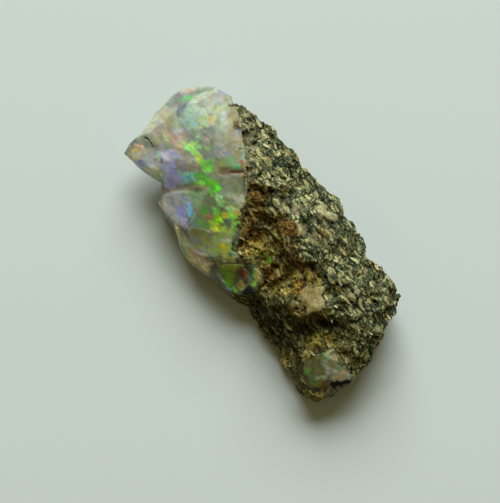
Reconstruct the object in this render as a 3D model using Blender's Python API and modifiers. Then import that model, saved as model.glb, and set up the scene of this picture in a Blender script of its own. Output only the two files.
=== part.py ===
"""Rough boulder opal: a broken piece of speckled volcanic rock with precious opal across one end.

The stone is an upright block with the stone's own plan outline, and every flat break, undercut and
scoop is then taken out of it. The same broken stone gives three pieces: the host rock, the opal cap
over one end and the small opal patch at the other. X runs along the stone towards the rock end, Y
across it and Z up from the flat break that it rests on. Sizes are in millimetres until MM turns
them to metres.
"""

import math
from dataclasses import dataclass

import bmesh
import bpy
from mathutils import Matrix, Vector

MM = 0.001

# Driving dimensions
BLOCK_TOP = 10.6
BLOCK_BOTTOM = -1.2
SEAM_GAP = 0.25
FAR = 40.0
REACH = 200.0
BALL_STEPS = 5

# Grain of the broken rock: the size of its lumps, how far they stand out, and the mesh that carries them
ROCK_VOXEL = 0.40
LUMP_SIZE, LUMP_RELIEF = 3.4, 1.3
CHIP_SIZE, CHIP_RELIEF = 1.5, 0.9
ROCK_FACES = 9000
RELIEF_LEVEL = 0.6

# Plan outline of the whole stone, from the tip of the opal round by the far edge and back
STONE_OUTLINE = (
    (-16.7, -8.4), (-17.1, -7.4), (-17.2, -5.7), (-17.6, -4.5), (-18.4, -2.9), (-18.9, -0.3),
    (-18.3, 2.2), (-17.3, 3.5), (-14.9, 4.7), (-12.4, 5.9), (-9.9, 6.6), (-6.0, 7.4),
    (-3.6, 7.0), (-1.8, 7.8), (1.0, 8.1), (3.0, 8.3), (6.0, 8.6), (7.0, 8.1), (8.5, 7.7),
    (10.6, 8.5), (12.2, 8.5), (13.4, 9.1), (14.0, 8.8), (15.6, 7.2), (16.1, 4.9), (16.8, 3.2),
    (18.1, 1.0), (18.9, -2.2), (18.5, -6.1), (17.4, -6.9), (13.2, -6.8), (7.8, -6.5),
    (4.7, -7.2), (0.8, -7.9), (-2.4, -9.0), (-4.2, -9.0), (-6.5, -8.3), (-9.9, -8.3),
    (-10.7, -7.2), (-12.1, -6.4), (-13.0, -7.0), (-14.8, -7.9),
)

# Plan regions that a break or a piece is held to
EVERYWHERE = ((-FAR, -FAR), (FAR, -FAR), (FAR, FAR), (-FAR, FAR))
DOME_SIDE = ((-18.0, 0.6), (-11.0, 0.6), (-4.0, 0.6), (-4.0, 6.0), (-18.0, 6.0))
TIP_SIDE = (
    (-24.0, -4.0), (-17.4, -5.2), (-14.4, -4.7), (-12.4, -3.9), (-9.4, -2.6), (-7.9, -2.7),
    (-9.6, -5.4), (-10.9, -7.4), (-10.9, -14.0), (-24.0, -14.0),
)
LOWER_OPAL = (
    (-10.9, -7.1), (-9.6, -5.3), (-7.8, -2.8), (-6.4, 0.9), (-4.6, 1.6), (6.0, -1.0),
    (6.0, -12.0), (-12.0, -12.0),
)
WEDGE = (
    (-2.4, -8.0), (-0.6, -6.6), (0.6, -5.2), (2.0, -4.3), (5.4, -2.9), (6.2, -5.4), (6.2, -12.0),
    (-3.0, -12.0),
)
FLANK = ((4.2, -12.0), (4.2, -7.4), (5.1, -5.0), (6.2, -2.0), (15.0, -2.0), (15.6, -12.0))
HOLLOW = (
    (9.4, -3.4), (10.8, -1.9), (12.0, -1.0), (13.8, 0.7), (15.0, 0.4), (14.8, -1.9), (13.2, -3.2),
    (12.4, -12.0), (9.4, -12.0),
)
OPAL_CAP = (
    (-FAR, 6.4), (-14.6, 6.4), (-14.5, 4.7), (-12.5, 4.4), (-9.8, 3.1), (-7.4, 2.0), (-5.6, 0.9),
    (-3.4, -0.5), (-1.9, -2.3), (-0.1, -4.2), (1.6, -4.2), (2.9, -2.9), (4.4, -3.4), (4.9, -5.1),
    (4.3, -5.9), (4.5, -FAR), (-FAR, -FAR),
)
END_PATCH = (
    (13.6, -5.0), (14.4, -2.9), (15.9, -2.1), (17.5, -1.3), (20.0, -0.9), (22.0, -5.0),
    (19.0, -9.0), (15.4, -9.0),
)


@dataclass(frozen=True)
class Break:
    """A flat break. It looks towards a heading in plan (degrees from +X) at a slope from level.

    A break looks up and falls along its heading, unless it is an undercut, which looks down and
    rises along its heading.
    """

    name: str
    at: tuple[float, float, float]
    heading: float
    slope: float
    region: tuple = EVERYWHERE
    under: bool = False

    def height(self, x, y):
        """Height of the break's plane over the plan point (x, y)."""
        way = math.radians(self.heading)
        run = (x - self.at[0]) * math.cos(way) + (y - self.at[1]) * math.sin(way)
        rise = math.tan(math.radians(self.slope))
        return self.at[2] + (run if self.under else -run) * rise


@dataclass(frozen=True)
class Scoop:
    """A shallow shell-shaped hollow, as glassy stone breaks, where a large ball cuts the surface.

    The surface there looks towards a heading in plan at a slope from level. The hollow is as wide
    and as deep as named, measured on that surface.
    """

    name: str
    at: tuple[float, float, float]
    heading: float
    slope: float
    width: float
    depth: float

    def ball(self):
        """Centre and radius of the ball that cuts the hollow."""
        radius = (self.width ** 2 / 4 + self.depth ** 2) / (2 * self.depth)
        way, lean = math.radians(self.heading), math.radians(self.slope)
        out = Vector((math.cos(way) * math.sin(lean), math.sin(way) * math.sin(lean), math.cos(lean)))
        return Vector(self.at) + out * (radius - self.depth), radius


TOP_BREAKS = (
    Break("top_of_rock", (4.0, 2.0, 9.3), 0.0, 4.0),
    Break("far_shoulder", (4.0, 2.6, 9.3), 96.0, 16.0),
    Break("near_shoulder", (6.0, 0.0, 9.0), 268.0, 17.0),
    Break("far_rim", (0.0, 7.2, 7.9), 93.0, 52.0),
    Break("far_block", (8.6, 5.4, 8.3), 78.0, 30.0),
    Break("end_block", (12.6, 2.0, 8.6), 20.0, 22.0),
    Break("far_corner", (11.6, 6.0, 8.0), 52.0, 38.0),
    Break("rock_end", (14.4, 1.0, 7.9), 350.0, 34.0),
    Break("end_slope", (13.6, -3.4, 6.4), 318.0, 30.0),
    Break("flank", (8.0, -6.9, 0.6), 267.0, 70.0, FLANK),
    Break("hollow", (12.0, -2.6, 6.2), 300.0, 12.0, HOLLOW),
    Break("opal_dome", (-12.0, 1.2, 9.9), 186.0, 8.0),
    Break("opal_dome_near", (-11.0, -1.6, 9.5), 262.0, 17.0),
    Break("opal_dome_far", (-11.0, 2.6, 9.7), 70.0, 13.0, DOME_SIDE),
    Break("opal_far_edge", (-13.8, 4.3, 9.2), 110.0, 36.0),
    Break("opal_end_band", (-16.9, 0.4, 8.9), 168.0, 46.0),
    Break("opal_end_corner", (-16.2, -3.4, 8.0), 200.0, 44.0),
    Break("opal_tip_face", (-12.4, -4.3, 8.0), 262.0, 33.0, TIP_SIDE),
    Break("opal_violet_face", (-7.6, -4.0, 7.9), 243.0, 33.0, LOWER_OPAL),
    Break("opal_green_face", (-6.6, -3.6, 8.3), 308.0, 20.0, LOWER_OPAL),
    Break("opal_near_rim", (-3.4, -6.3, 7.0), 274.0, 50.0, LOWER_OPAL),
    Break("opal_wedge_face", (1.8, -4.6, 5.7), 286.0, 24.0, WEDGE),
)

# Undercuts: the stone below each plane is gone, so the stone rests on a narrower base
UNDER_BREAKS = (
    Break("under_opal_end", (-18.6, 0.0, 5.6), 178.0, 42.0, under=True),
    Break("under_opal_tip", (-16.6, -8.2, 4.5), 236.0, 40.0, under=True),
    Break("under_opal_side", (-6.5, -9.0, 2.4), 264.0, 62.0, under=True),
    Break("under_far_side", (3.0, 8.3, 6.0), 93.0, 72.0, under=True),
    Break("under_far_corner", (13.8, 8.9, 4.6), 46.0, 64.0, under=True),
    Break("under_rock_end", (17.6, 2.0, 3.2), 18.0, 72.0, under=True),
    Break("under_end_patch", (18.5, -5.4, 2.0), 318.0, 62.0, under=True),
    Break("under_flank", (9.0, -6.8, 0.9), 268.0, 64.0, FLANK, under=True),
)

SCOOPS = (
    Scoop("dome_shell", (-14.4, 0.6, 9.9), 190.0, 8.0, 6.4, 0.40),
    Scoop("dome_inner_shell", (-9.8, 0.6, 9.6), 300.0, 8.0, 4.6, 0.32),
    Scoop("band_shell", (-16.6, 1.2, 8.6), 160.0, 46.0, 3.6, 0.25),
    Scoop("tip_shell", (-14.2, -6.0, 6.9), 262.0, 33.0, 4.2, 0.28),
    Scoop("ridge_shell", (-10.4, -5.4, 7.2), 262.0, 33.0, 2.6, 0.20),
    Scoop("green_shell", (-4.6, -3.6, 7.8), 308.0, 20.0, 4.4, 0.34),
    Scoop("rim_shell", (-3.0, -6.6, 6.4), 280.0, 45.0, 3.4, 0.30),
    Scoop("violet_shell", (-8.2, -6.0, 6.2), 243.0, 33.0, 3.2, 0.26),
    Scoop("wedge_shell", (2.2, -5.8, 5.2), 286.0, 24.0, 3.4, 0.30),
    Scoop("stained_pit", (-1.0, 0.4, 9.4), 300.0, 6.0, 5.4, 0.60),
    Scoop("far_pit", (3.6, 5.2, 9.0), 96.0, 16.0, 4.6, 0.55),
    Scoop("flank_recess", (5.7, -6.6, 4.6), 267.0, 70.0, 4.4, 0.80),
    Scoop("near_ledge", (8.6, -4.6, 7.2), 268.0, 30.0, 4.4, 0.75),
    Scoop("end_shell", (16.4, -4.0, 5.2), 330.0, 32.0, 3.8, 0.35),
)

# The seams under the two opals: each opal is the stone above its seam, inside its own plan region
CAP_SEAM = Break("cap_seam", (0.5, -4.5, 3.0), 195.0, 20.0, OPAL_CAP)
PATCH_SEAM = Break("patch_seam", (14.2, -2.6, 3.8), 342.0, 34.0, END_PATCH)


def clear_scene():
    """Start from an empty scene."""
    for obj in list(bpy.data.objects):
        bpy.data.objects.remove(obj, do_unlink=True)


def new_collection(name):
    """A collection of its own, linked to the scene."""
    collection = bpy.data.collections.new(name)
    bpy.context.scene.collection.children.link(collection)
    return collection


def extruded_region(name, region, low, high):
    """Mesh of a plan region stood up between two heights, made from a filled 2D curve."""
    curve = bpy.data.curves.new(name, "CURVE")
    curve.dimensions = "2D"
    curve.fill_mode = "BOTH"
    curve.extrude = (high - low) / 2 * MM
    spline = curve.splines.new("POLY")
    spline.points.add(len(region) - 1)
    for point, (x, y) in zip(spline.points, region):
        point.co = (x * MM, y * MM, 0.0, 1.0)
    spline.use_cyclic_u = True
    guide = bpy.data.objects.new(name + "_guide", curve)
    bpy.context.scene.collection.objects.link(guide)
    guide.location.z = (high + low) / 2 * MM
    bpy.context.view_layer.update()
    mesh = bpy.data.meshes.new_from_object(guide.evaluated_get(bpy.context.evaluated_depsgraph_get()))
    mesh.transform(guide.matrix_world)
    bpy.data.objects.remove(guide, do_unlink=True)
    tidy_mesh(mesh)
    return mesh


def tidy_mesh(mesh):
    """Weld the caps to the sides, join flat triangles and turn every face outwards."""
    work = bmesh.new()
    work.from_mesh(mesh)
    bmesh.ops.remove_doubles(work, verts=work.verts, dist=0.001 * MM)
    bmesh.ops.dissolve_limit(work, angle_limit=math.radians(0.5), verts=work.verts, edges=work.edges)
    bmesh.ops.recalc_face_normals(work, faces=work.faces)
    work.to_mesh(mesh)
    work.free()


def add_cutter(name, mesh, cutters):
    """Object that only shapes others: drawn as a wire and left out of the stone."""
    cutter = bpy.data.objects.new(name, mesh)
    cutter.display_type = "WIRE"
    cutter.hide_render = True
    cutters.objects.link(cutter)
    return cutter


def break_cutter(fracture, cutters):
    """Everything over the plane of a break inside its region, or under it for an undercut."""
    mesh = extruded_region(fracture.name, fracture.region, -REACH, REACH)
    for vertex in mesh.vertices:
        if (vertex.co.z > 0.0) == fracture.under:
            vertex.co.z = fracture.height(vertex.co.x / MM, vertex.co.y / MM) * MM
    return add_cutter(fracture.name, mesh, cutters)


def scoop_cutter(scoop, cutters):
    """Ball of a shell-shaped hollow."""
    centre, radius = scoop.ball()
    mesh = bpy.data.meshes.new(scoop.name)
    work = bmesh.new()
    bmesh.ops.create_icosphere(work, subdivisions=BALL_STEPS, radius=radius * MM)
    work.to_mesh(mesh)
    work.free()
    mesh.transform(Matrix.Translation(centre * MM))
    return add_cutter(scoop.name, mesh, cutters)


def floor_cutter(cutters):
    """Everything under the flat break that the stone rests on."""
    mesh = extruded_region("resting_break", EVERYWHERE, -FAR, 0.0)
    return add_cutter("resting_break", mesh, cutters)


def add_boolean(obj, cutter, operation):
    """Exact Boolean with one cutter."""
    modifier = obj.modifiers.new(cutter.name, "BOOLEAN")
    modifier.operation = operation
    modifier.object = cutter
    modifier.solver = "EXACT"
    return modifier


def bake_modifiers(obj):
    """Replace an object's mesh by its evaluated one."""
    bpy.context.view_layer.update()
    evaluated = obj.evaluated_get(bpy.context.evaluated_depsgraph_get())
    mesh = bpy.data.meshes.new_from_object(evaluated)
    obj.modifiers.clear()
    obj.data = mesh
    tidy_mesh(mesh)


def broken_stone(cutters):
    """The whole stone with its flat breaks, undercuts and shell-shaped hollows."""
    stone = add_cutter("stone", extruded_region("stone", STONE_OUTLINE, BLOCK_BOTTOM, BLOCK_TOP), cutters)
    for fracture in TOP_BREAKS + UNDER_BREAKS:
        add_boolean(stone, break_cutter(fracture, cutters), "DIFFERENCE")
    for scoop in SCOOPS:
        add_boolean(stone, scoop_cutter(scoop, cutters), "DIFFERENCE")
    bake_modifiers(stone)
    return stone


def displace(obj, name, kind, size, relief):
    """Lumps of a given size that stand out of the surface by up to a given relief."""
    texture = bpy.data.textures.new(name, kind)
    texture.noise_scale = size * MM
    modifier = obj.modifiers.new(name, "DISPLACE")
    modifier.texture = texture
    modifier.texture_coords = "LOCAL"
    modifier.strength = relief * MM
    modifier.mid_level = RELIEF_LEVEL


def roughen(rock):
    """Give the rock its lumps and chips, then thin the mesh out again."""
    remesh = rock.modifiers.new("even_mesh", "REMESH")
    remesh.mode = "VOXEL"
    remesh.voxel_size = ROCK_VOXEL * MM
    displace(rock, "lumps", "CLOUDS", LUMP_SIZE, LUMP_RELIEF)
    displace(rock, "chips", "VORONOI", CHIP_SIZE, CHIP_RELIEF)
    bake_modifiers(rock)
    triangles = sum(len(face.vertices) - 2 for face in rock.data.polygons)
    decimate = rock.modifiers.new("fewer_faces", "DECIMATE")
    decimate.ratio = ROCK_FACES / triangles
    bake_modifiers(rock)


def grown(cutter, cutters):
    """Copy of a seam cutter that is larger by the seam gap all round."""
    larger = add_cutter(cutter.name + "_grown", cutter.data.copy(), cutters)
    modifier = larger.modifiers.new("gap", "DISPLACE")
    modifier.mid_level = 0.0
    modifier.strength = SEAM_GAP * MM
    return larger


def stone_material(name, colour, roughness, transmission=0.0):
    """Principled material for one kind of stone."""
    material = bpy.data.materials.new(name)
    material.use_nodes = True
    shader = material.node_tree.nodes["Principled BSDF"]
    shader.inputs["Base Color"].default_value = (*colour, 1.0)
    shader.inputs["Roughness"].default_value = roughness
    shader.inputs["Metallic"].default_value = 0.0
    shader.inputs["Transmission Weight"].default_value = transmission
    return material


def add_piece(name, mesh, material, pieces):
    """A piece of the stone, as its own object."""
    piece = bpy.data.objects.new(name, mesh)
    piece.data.materials.clear()
    piece.data.materials.append(material)
    pieces.objects.link(piece)
    return piece


def build_host_rock(stone, seams, cutters, pieces):
    """Speckled volcanic rock, cut back from both opals and flat underneath."""
    speckled = stone_material("speckled_rock", (0.13, 0.13, 0.10), 0.85)
    rock = add_piece("host_rock", stone.data.copy(), speckled, pieces)
    roughen(rock)
    for seam in seams:
        add_boolean(rock, grown(seam, cutters), "DIFFERENCE")
    add_boolean(rock, floor_cutter(cutters), "DIFFERENCE")
    bake_modifiers(rock)
    return rock


def build_opal(name, stone, seam, colour, pieces):
    """The stone above one seam: an opal with glassy flat breaks."""
    glassy = stone_material(name + "_glassy", colour, 0.15, transmission=0.3)
    opal = add_piece(name, stone.data.copy(), glassy, pieces)
    add_boolean(opal, seam, "INTERSECT")
    add_boolean(opal, bpy.data.objects["resting_break"], "DIFFERENCE")
    bake_modifiers(opal)
    return opal


def centre_on_footprint(pieces):
    """Move the stone so that the frame's origin is the centre of its footprint box."""
    corners = [vertex.co for piece in pieces for vertex in piece.data.vertices]
    middle_x = (min(co.x for co in corners) + max(co.x for co in corners)) / 2
    middle_y = (min(co.y for co in corners) + max(co.y for co in corners)) / 2
    for piece in pieces:
        piece.data.transform(Matrix.Translation((-middle_x, -middle_y, 0.0)))


def build_boulder_opal():
    """Build every piece of the stone."""
    clear_scene()
    pieces = new_collection("rough_boulder_opal")
    cutters = new_collection("cutters")
    stone = broken_stone(cutters)
    cap_seam = break_cutter(CAP_SEAM, cutters)
    patch_seam = break_cutter(PATCH_SEAM, cutters)
    build_host_rock(stone, (cap_seam, patch_seam), cutters, pieces)
    build_opal("opal_cap", stone, cap_seam, (0.62, 0.63, 0.55), pieces)
    build_opal("opal_end_patch", stone, patch_seam, (0.36, 0.36, 0.27), pieces)
    centre_on_footprint(pieces.objects)


build_boulder_opal()
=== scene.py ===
"""Looks of a rough boulder opal: milky precious opal grown over one end of speckled volcanic rock.

Both minerals are skins grown over the frame's own solids, with the relief of a broken surface worked
into their vertices. The rock carries loose feldspar laths and a few large crystals, and the opal's
play of colour is laid down as named flashes. Sizes here are in millimetres in the stone's own frame:
X runs from the opal end to the rock end, Y across it and Z up, and MM turns them to metres.
"""

import logging
import math
from collections.abc import Callable
from dataclasses import dataclass
from enum import Enum
from functools import partial

import bmesh
import bpy
import numpy as np
from bpy.types import Material, Mesh, NodeSocket as Socket, NodeTree, Object
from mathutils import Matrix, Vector, noise
from mathutils.bvhtree import BVHTree
from mathutils.kdtree import KDTree


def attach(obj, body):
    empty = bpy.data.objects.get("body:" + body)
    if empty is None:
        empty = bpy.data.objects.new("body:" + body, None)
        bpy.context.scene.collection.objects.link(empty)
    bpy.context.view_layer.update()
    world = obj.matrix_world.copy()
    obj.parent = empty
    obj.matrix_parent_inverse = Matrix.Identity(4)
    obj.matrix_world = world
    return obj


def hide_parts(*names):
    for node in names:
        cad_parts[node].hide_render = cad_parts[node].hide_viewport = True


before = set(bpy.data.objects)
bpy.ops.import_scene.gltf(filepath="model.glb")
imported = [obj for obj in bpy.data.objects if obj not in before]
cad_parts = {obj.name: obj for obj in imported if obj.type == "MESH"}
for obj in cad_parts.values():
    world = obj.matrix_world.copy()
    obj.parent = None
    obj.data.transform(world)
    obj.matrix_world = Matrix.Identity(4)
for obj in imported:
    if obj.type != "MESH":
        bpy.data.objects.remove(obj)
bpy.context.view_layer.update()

LOG = logging.getLogger("boulder_opal")
MM = 0.001
FAR = 1e6
TINY = 1e-6
OVERHEAD = 30.0
DOWN = Vector((0, 0, -1))
IN_COLOUR = {"out": 2, "data_type": "RGBA"}  # a Mix node that mixes colours

Array = np.ndarray
Adder = Callable[..., Socket | None]
Points = tuple[tuple[float, float], ...]


class Mineral(Enum):
    """The stone's three solids, named as their nodes of the frame."""

    ROCK = "host_rock"
    OPAL = "opal_cap"
    END_OPAL = "opal_end_patch"


class Slot(Enum):
    """The record's material slots."""

    ROCK = "speckled_rock"
    OPAL = "precious_opal"
    END_OPAL = "grey_opal"


def linear(hex_code: str) -> Array:
    """Red, green and blue in linear light, 0 to 1, of an sRGB hex value with a leading hash."""
    values = np.array([int(hex_code[i:i + 2], 16) / 255 for i in (1, 3, 5)])
    return np.where(values <= 0.04045, values / 12.92, ((values + 0.055) / 1.055) ** 2.4)


def rgba(hex_code: str) -> tuple[float, float, float, float]:
    """Linear colour of an sRGB hex value, as a socket takes it."""
    return (*linear(hex_code), 1.0)


def smoothstep(low: float, high: float, values: Array) -> Array:
    """Rise smoothly from 0 at low to 1 at high; low may be the larger of the two."""
    share = np.clip((values - low) / (high - low), 0.0, 1.0)
    return share * share * (3 - 2 * share)


def cloud(places: Array, size: float, seed: float, octaves: int = 3) -> Array:
    """Fractal noise, about -1 to 1, whose largest lumps have a size, at places in millimetres."""
    moved = (places / size + seed).tolist()
    return np.array([noise.fractal(place, 1.0, 2.1, octaves) for place in moved])


def wander(places: Array, reach: float, size: float, seed: float) -> Array:
    """The places, each pushed about by up to a reach; see cloud for the rest."""
    push = np.stack([cloud(places, size, seed + step) for step in (0.0, 17.3, 34.9)], axis=1)
    return places + reach * push


def of_vertices(mesh: Mesh, name: str) -> Array:
    """Read a vector that each vertex has.

    Args:
        mesh: the mesh.
        name: co or normal.

    Returns:
        The vectors, one a row.
    """
    flat = np.empty(len(mesh.vertices) * 3, dtype=np.float32)
    mesh.vertices.foreach_get(name, flat)
    return flat.reshape(-1, 3).astype(float)


def places_of(mesh: Mesh) -> Array:
    """Vertex places in millimetres, one a row."""
    return of_vertices(mesh, "co") / MM


def place_vertices(mesh: Mesh, places: Array) -> None:
    """Move a mesh's vertices, none of them below the floor.

    Args:
        mesh: the mesh.
        places: where they go, in millimetres.
    """
    places[:, 2] = np.maximum(places[:, 2], 0.0)
    mesh.vertices.foreach_set("co", (places * MM).astype(np.float32).ravel())
    mesh.update()


def store_colour(mesh: Mesh, name: str, colours: Array) -> None:
    """Keep a linear colour and a fourth value on each vertex, under the name that a finish reads."""
    attribute = mesh.attributes.new(name, "FLOAT_COLOR", "POINT")
    attribute.data.foreach_set("color", np.clip(colours, 0, 1).astype(np.float32).ravel())


def tree_over(mesh: Mesh) -> BVHTree:
    """Search tree over a mesh's faces, in millimetres."""
    corners = [tuple(place) for place in places_of(mesh)]
    return BVHTree.FromPolygons(corners, [tuple(face.vertices) for face in mesh.polygons])


def add_node(
    tree: NodeTree, kind: str, inputs: dict | tuple = (), out: int | str = 0, **settings: object,
) -> Socket | None:
    """Add a node with its settings and what goes into its sockets.

    Args:
        tree: the node tree.
        kind: the node's type; a shader node's goes without its ShaderNode.
        inputs: values, or output sockets to link in, in the inputs' own order or by name or number;
            a noise's are its place, W, scale, detail and roughness.
        out: which of the node's outputs is given back.
        settings: the node's own properties.

    Returns:
        The output, through which the node is reached too, or nothing where it has none.
    """
    node = tree.nodes.new(kind if "Node" in kind else f"ShaderNode{kind}")
    for name, value in settings.items():
        setattr(node, name, value)
    for key, value in (inputs if isinstance(inputs, dict) else dict(enumerate(inputs))).items():
        if isinstance(value, Socket):
            tree.links.new(value, node.inputs[key])
        else:
            node.inputs[key].default_value = value
    return node.outputs[out] if node.outputs else None


def new_material(name: str) -> tuple[Material, Adder]:
    """Make a material with an empty node tree.

    Args:
        name: its name.

    Returns:
        The material, and what adds a node to it.
    """
    material = bpy.data.materials.new(name)
    material.use_nodes = True
    material.node_tree.nodes.clear()
    return material, partial(add_node, material.node_tree)


def set_stops(ramp: bpy.types.ColorRamp, *stops: tuple[float, str]) -> None:
    """Give a colour ramp its stops.

    Args:
        ramp: the ramp, as it is when new.
        stops: each a place along it and an sRGB hex value, lowest first.
    """
    for _ in stops[2:]:
        ramp.elements.new(1.0)
    for element, (place, hue) in zip(ramp.elements, stops):
        element.position = place
        element.color = rgba(hue)


def nearest_of(centres: Array, places: Array) -> Array:
    """Find the centre nearest to each place.

    Args:
        centres: points, one a row.
        places: more points.

    Returns:
        Index of the centre for each place.
    """
    finder = KDTree(len(centres))
    for index, centre in enumerate(centres.tolist()):
        finder.insert(centre, index)
    finder.balance()
    return np.array([finder.find(place)[1] for place in places.tolist()])


def strewn(cells: Array, rng: np.random.Generator) -> Array:
    """Random centres, one to each unit of the box that the cells fill."""
    low, high = cells.min(axis=0) - 1, cells.max(axis=0) + 1
    return rng.uniform(low, high, (int(np.prod(high - low)), 3))


def off_line(points: Array, a: Array, b: Array) -> Array:
    """Measure how far points in plan lie from a straight line between two others.

    Args:
        points: the points, one a row.
        a: the line's start.
        b: its end.

    Returns:
        Distance of each point.
    """
    run = b - a
    share = np.clip((points - a) @ run / max(run @ run, 1e-9), 0, 1)
    return np.linalg.norm(points - a - share[:, None] * run, axis=1)


def mix_in(colours: Array, hue: Array, share: Array) -> None:
    """Mix a linear colour into the first three values of each row, in place, by a share a row."""
    colours[:, :3] = colours[:, :3] * (1 - share[:, None]) + hue * share[:, None]


def lay_over(fire: Array, hue: str, cover: Array) -> None:
    """Lay one flash over those before it, in place.

    Args:
        fire: colour and strength so far, one row a vertex.
        hue: the flash's colour.
        cover: the flash's strength at each vertex.
    """
    total = fire[:, 3] * (1 - cover) + cover
    mix_in(fire, linear(hue), np.where(total > TINY, cover / np.maximum(total, TINY), 0.0))
    fire[:, 3] = total


def add_piece(name: str, data: bpy.types.ID) -> Object:
    """Put new data in the scene, at the origin.

    Args:
        name: the object's name.
        data: a finished mesh, lamp or camera.

    Returns:
        The object.
    """
    piece = bpy.data.objects.new(name, data)
    bpy.context.scene.collection.objects.link(piece)
    return piece


def settled_mesh(piece: Object) -> Mesh:
    """Take a piece's modifiers off and keep what they do.

    Args:
        piece: the piece.

    Returns:
        A plain mesh of the piece as they leave it.
    """
    bpy.context.view_layer.update()
    evaluated = piece.evaluated_get(bpy.context.evaluated_depsgraph_get())
    mesh = bpy.data.meshes.new_from_object(evaluated)
    piece.modifiers.clear()
    return mesh


def dress(piece: Object, material: Material) -> None:
    """Give a piece its one finish."""
    piece.data.materials.clear()
    piece.data.materials.append(material)


@dataclass(frozen=True)
class Spot:
    """A soft-edged place on the stone, seen from above, where the colour or relief differs."""

    name: str
    at: tuple[float, float]
    size: tuple[float, float]
    turn: float = 0.0
    hue: str = "#808080"
    strength: float = 1.0

    def cover(self, places: Array, height: float, softness: float) -> Array:
        """Find how much of the spot lies on each place.

        Args:
            places: points in millimetres, one a row.
            height: height of the surface under the spot's centre.
            softness: share of the spot's radius over which it fades.

        Returns:
            Values from 0 outside to the spot's strength inside.
        """
        way = math.radians(self.turn)
        offset = places - np.array([*self.at, height])
        along = (offset[:, 0] * math.cos(way) + offset[:, 1] * math.sin(way)) / (self.size[0] / 2)
        across = (offset[:, 1] * math.cos(way) - offset[:, 0] * math.sin(way)) / (self.size[1] / 2)
        down = offset[:, 2] / max(self.size)
        reach = np.sqrt(along ** 2 + across ** 2 + down ** 2)
        return smoothstep(1.0 + softness, 1.0 - softness, reach) * self.strength


@dataclass(frozen=True)
class Patch:
    """An angular area of the upper side, outlined as seen from above, with its own colour."""

    name: str
    outline: Points
    hue: str = "#000000"
    strength: float = 1.0

    def cover(self, places: Array, softness: float) -> Array:
        """Find how much of the area lies on each place.

        Args:
            places: points in millimetres, one a row.
            softness: distance on each side of the outline over which it fades.

        Returns:
            Values from 0 outside to the area's strength inside.
        """
        corners = np.array(self.outline)
        low, high = corners.min(axis=0) - softness, corners.max(axis=0) + softness
        near = np.flatnonzero(np.all((places[:, :2] >= low) & (places[:, :2] <= high), axis=1))
        cover = np.zeros(len(places))
        point = places[near, :2]
        inside = np.zeros(len(near), dtype=bool)
        gap = np.full(len(near), FAR)
        for a, b in zip(corners, np.roll(corners, -1, axis=0)):
            gap = np.minimum(gap, off_line(point, a, b))
            crosses = (a[1] > point[:, 1]) != (b[1] > point[:, 1])
            level = (b[0] - a[0]) * (point[:, 1] - a[1]) / ((b[1] - a[1]) or 1e-9) + a[0]
            inside ^= crosses & (point[:, 0] < level)
        cover[near] = smoothstep(-softness, softness, np.where(inside, gap, -gap)) * self.strength
        return cover


@dataclass(frozen=True)
class BreakFace:
    """An area that broke along one smooth surface, outlined as seen from above.

    Attributes:
        name: what the face is.
        outline: its corners in plan.
        bend: 1 for a flat face, 2 for a gently rounded one.
        softness: distance over which it runs into the rest of the break.
        most: the farthest that the surface moves to meet it.
    """

    name: str
    outline: Points
    bend: int = 1
    softness: float = 0.22
    most: float = 0.5

    def settle(self, places: Array, normals: Array) -> Array:
        """Bring the points in the area to its surface.

        Args:
            places: points in millimetres, one a row.
            normals: their normals.

        Returns:
            All of the points.
        """
        cover = Patch(self.name, self.outline).cover(places, self.softness)
        cover *= smoothstep(0.0, 0.3, normals[:, 2])
        x, y = (places[:, :2] - np.mean(self.outline, axis=0)).T
        steps = range(self.bend + 1)
        terms = np.stack([x ** i * y ** j for i in steps for j in steps if i + j <= self.bend], axis=1)
        inner = cover > 0.6
        fit = np.linalg.lstsq(terms[inner], places[inner, 2], rcond=None)[0]
        moved = places.copy()
        moved[:, 2] += np.clip(terms @ fit - places[:, 2], -self.most, self.most) * cover
        return moved


@dataclass(frozen=True)
class Crease:
    """A crack or ridge line along a few points seen from above; a negative depth stands proud."""

    name: str
    path: Points
    width: float
    depth: float
    hue: str
    # Real staining in cracks; along the ledge painted shade, and along one ridge a painted highlight.
    stain: float

    def cover(self, places: Array) -> Array:
        """Find how much of the line lies on each place.

        Args:
            places: points in millimetres, one a row.

        Returns:
            Values from 0 to 1.
        """
        ends = zip(np.array(self.path), np.array(self.path[1:]))
        gap = np.min([off_line(places[:, :2], a, b) for a, b in ends], axis=0)
        return smoothstep(self.width, self.width * 0.2, gap)


@dataclass(frozen=True)
class Mosaic:
    """Angular grains of the opal's inner pattern, each of which flashes as one.

    Attributes:
        length: grain length, in millimetres.
        width: grain width.
        turn: which way the grains lie in plan, in degrees.
        hold: share of its place that a point takes from its grain.
        scatter: how far a grain's colour is taken from aside.
        spread: how much a grain's red and blue differ from the next.
        seed: keeps the grains where they are.
    """

    length: float = 0.56
    width: float = 0.22
    turn: float = 18.0
    hold: float = 0.34
    scatter: float = 0.16
    spread: float = 0.30
    seed: int = 4

    def split(self, places: Array) -> tuple[Array, Array, Array]:
        """Gather the places in grains.

        Args:
            places: points in millimetres, one a row.

        Returns:
            Where each point takes its flash from, its grain's brightness, about 0 to 1, and what its
            flash's red, green and blue are multiplied by.
        """
        way = math.radians(self.turn)
        basis = np.array([
            [math.cos(way) / self.length, -math.sin(way) / self.width, 0],
            [math.sin(way) / self.length, math.cos(way) / self.width, 0],
            [0, 0, 1 / self.width],
        ])
        cells = places @ basis
        rng = np.random.default_rng(self.seed)
        centres = strewn(cells, rng)
        own = nearest_of(centres, cells)
        aside = rng.normal(0, self.scatter, centres.shape)
        home = centres @ np.linalg.inv(basis) + aside
        glow = rng.uniform(0, 1, len(centres))[own]
        cast = 1 + self.spread * rng.uniform(-1, 1, centres.shape)[own] * np.array([1, 0.35, 1])
        return places * (1 - self.hold) + home[own] * self.hold, glow, cast


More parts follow.
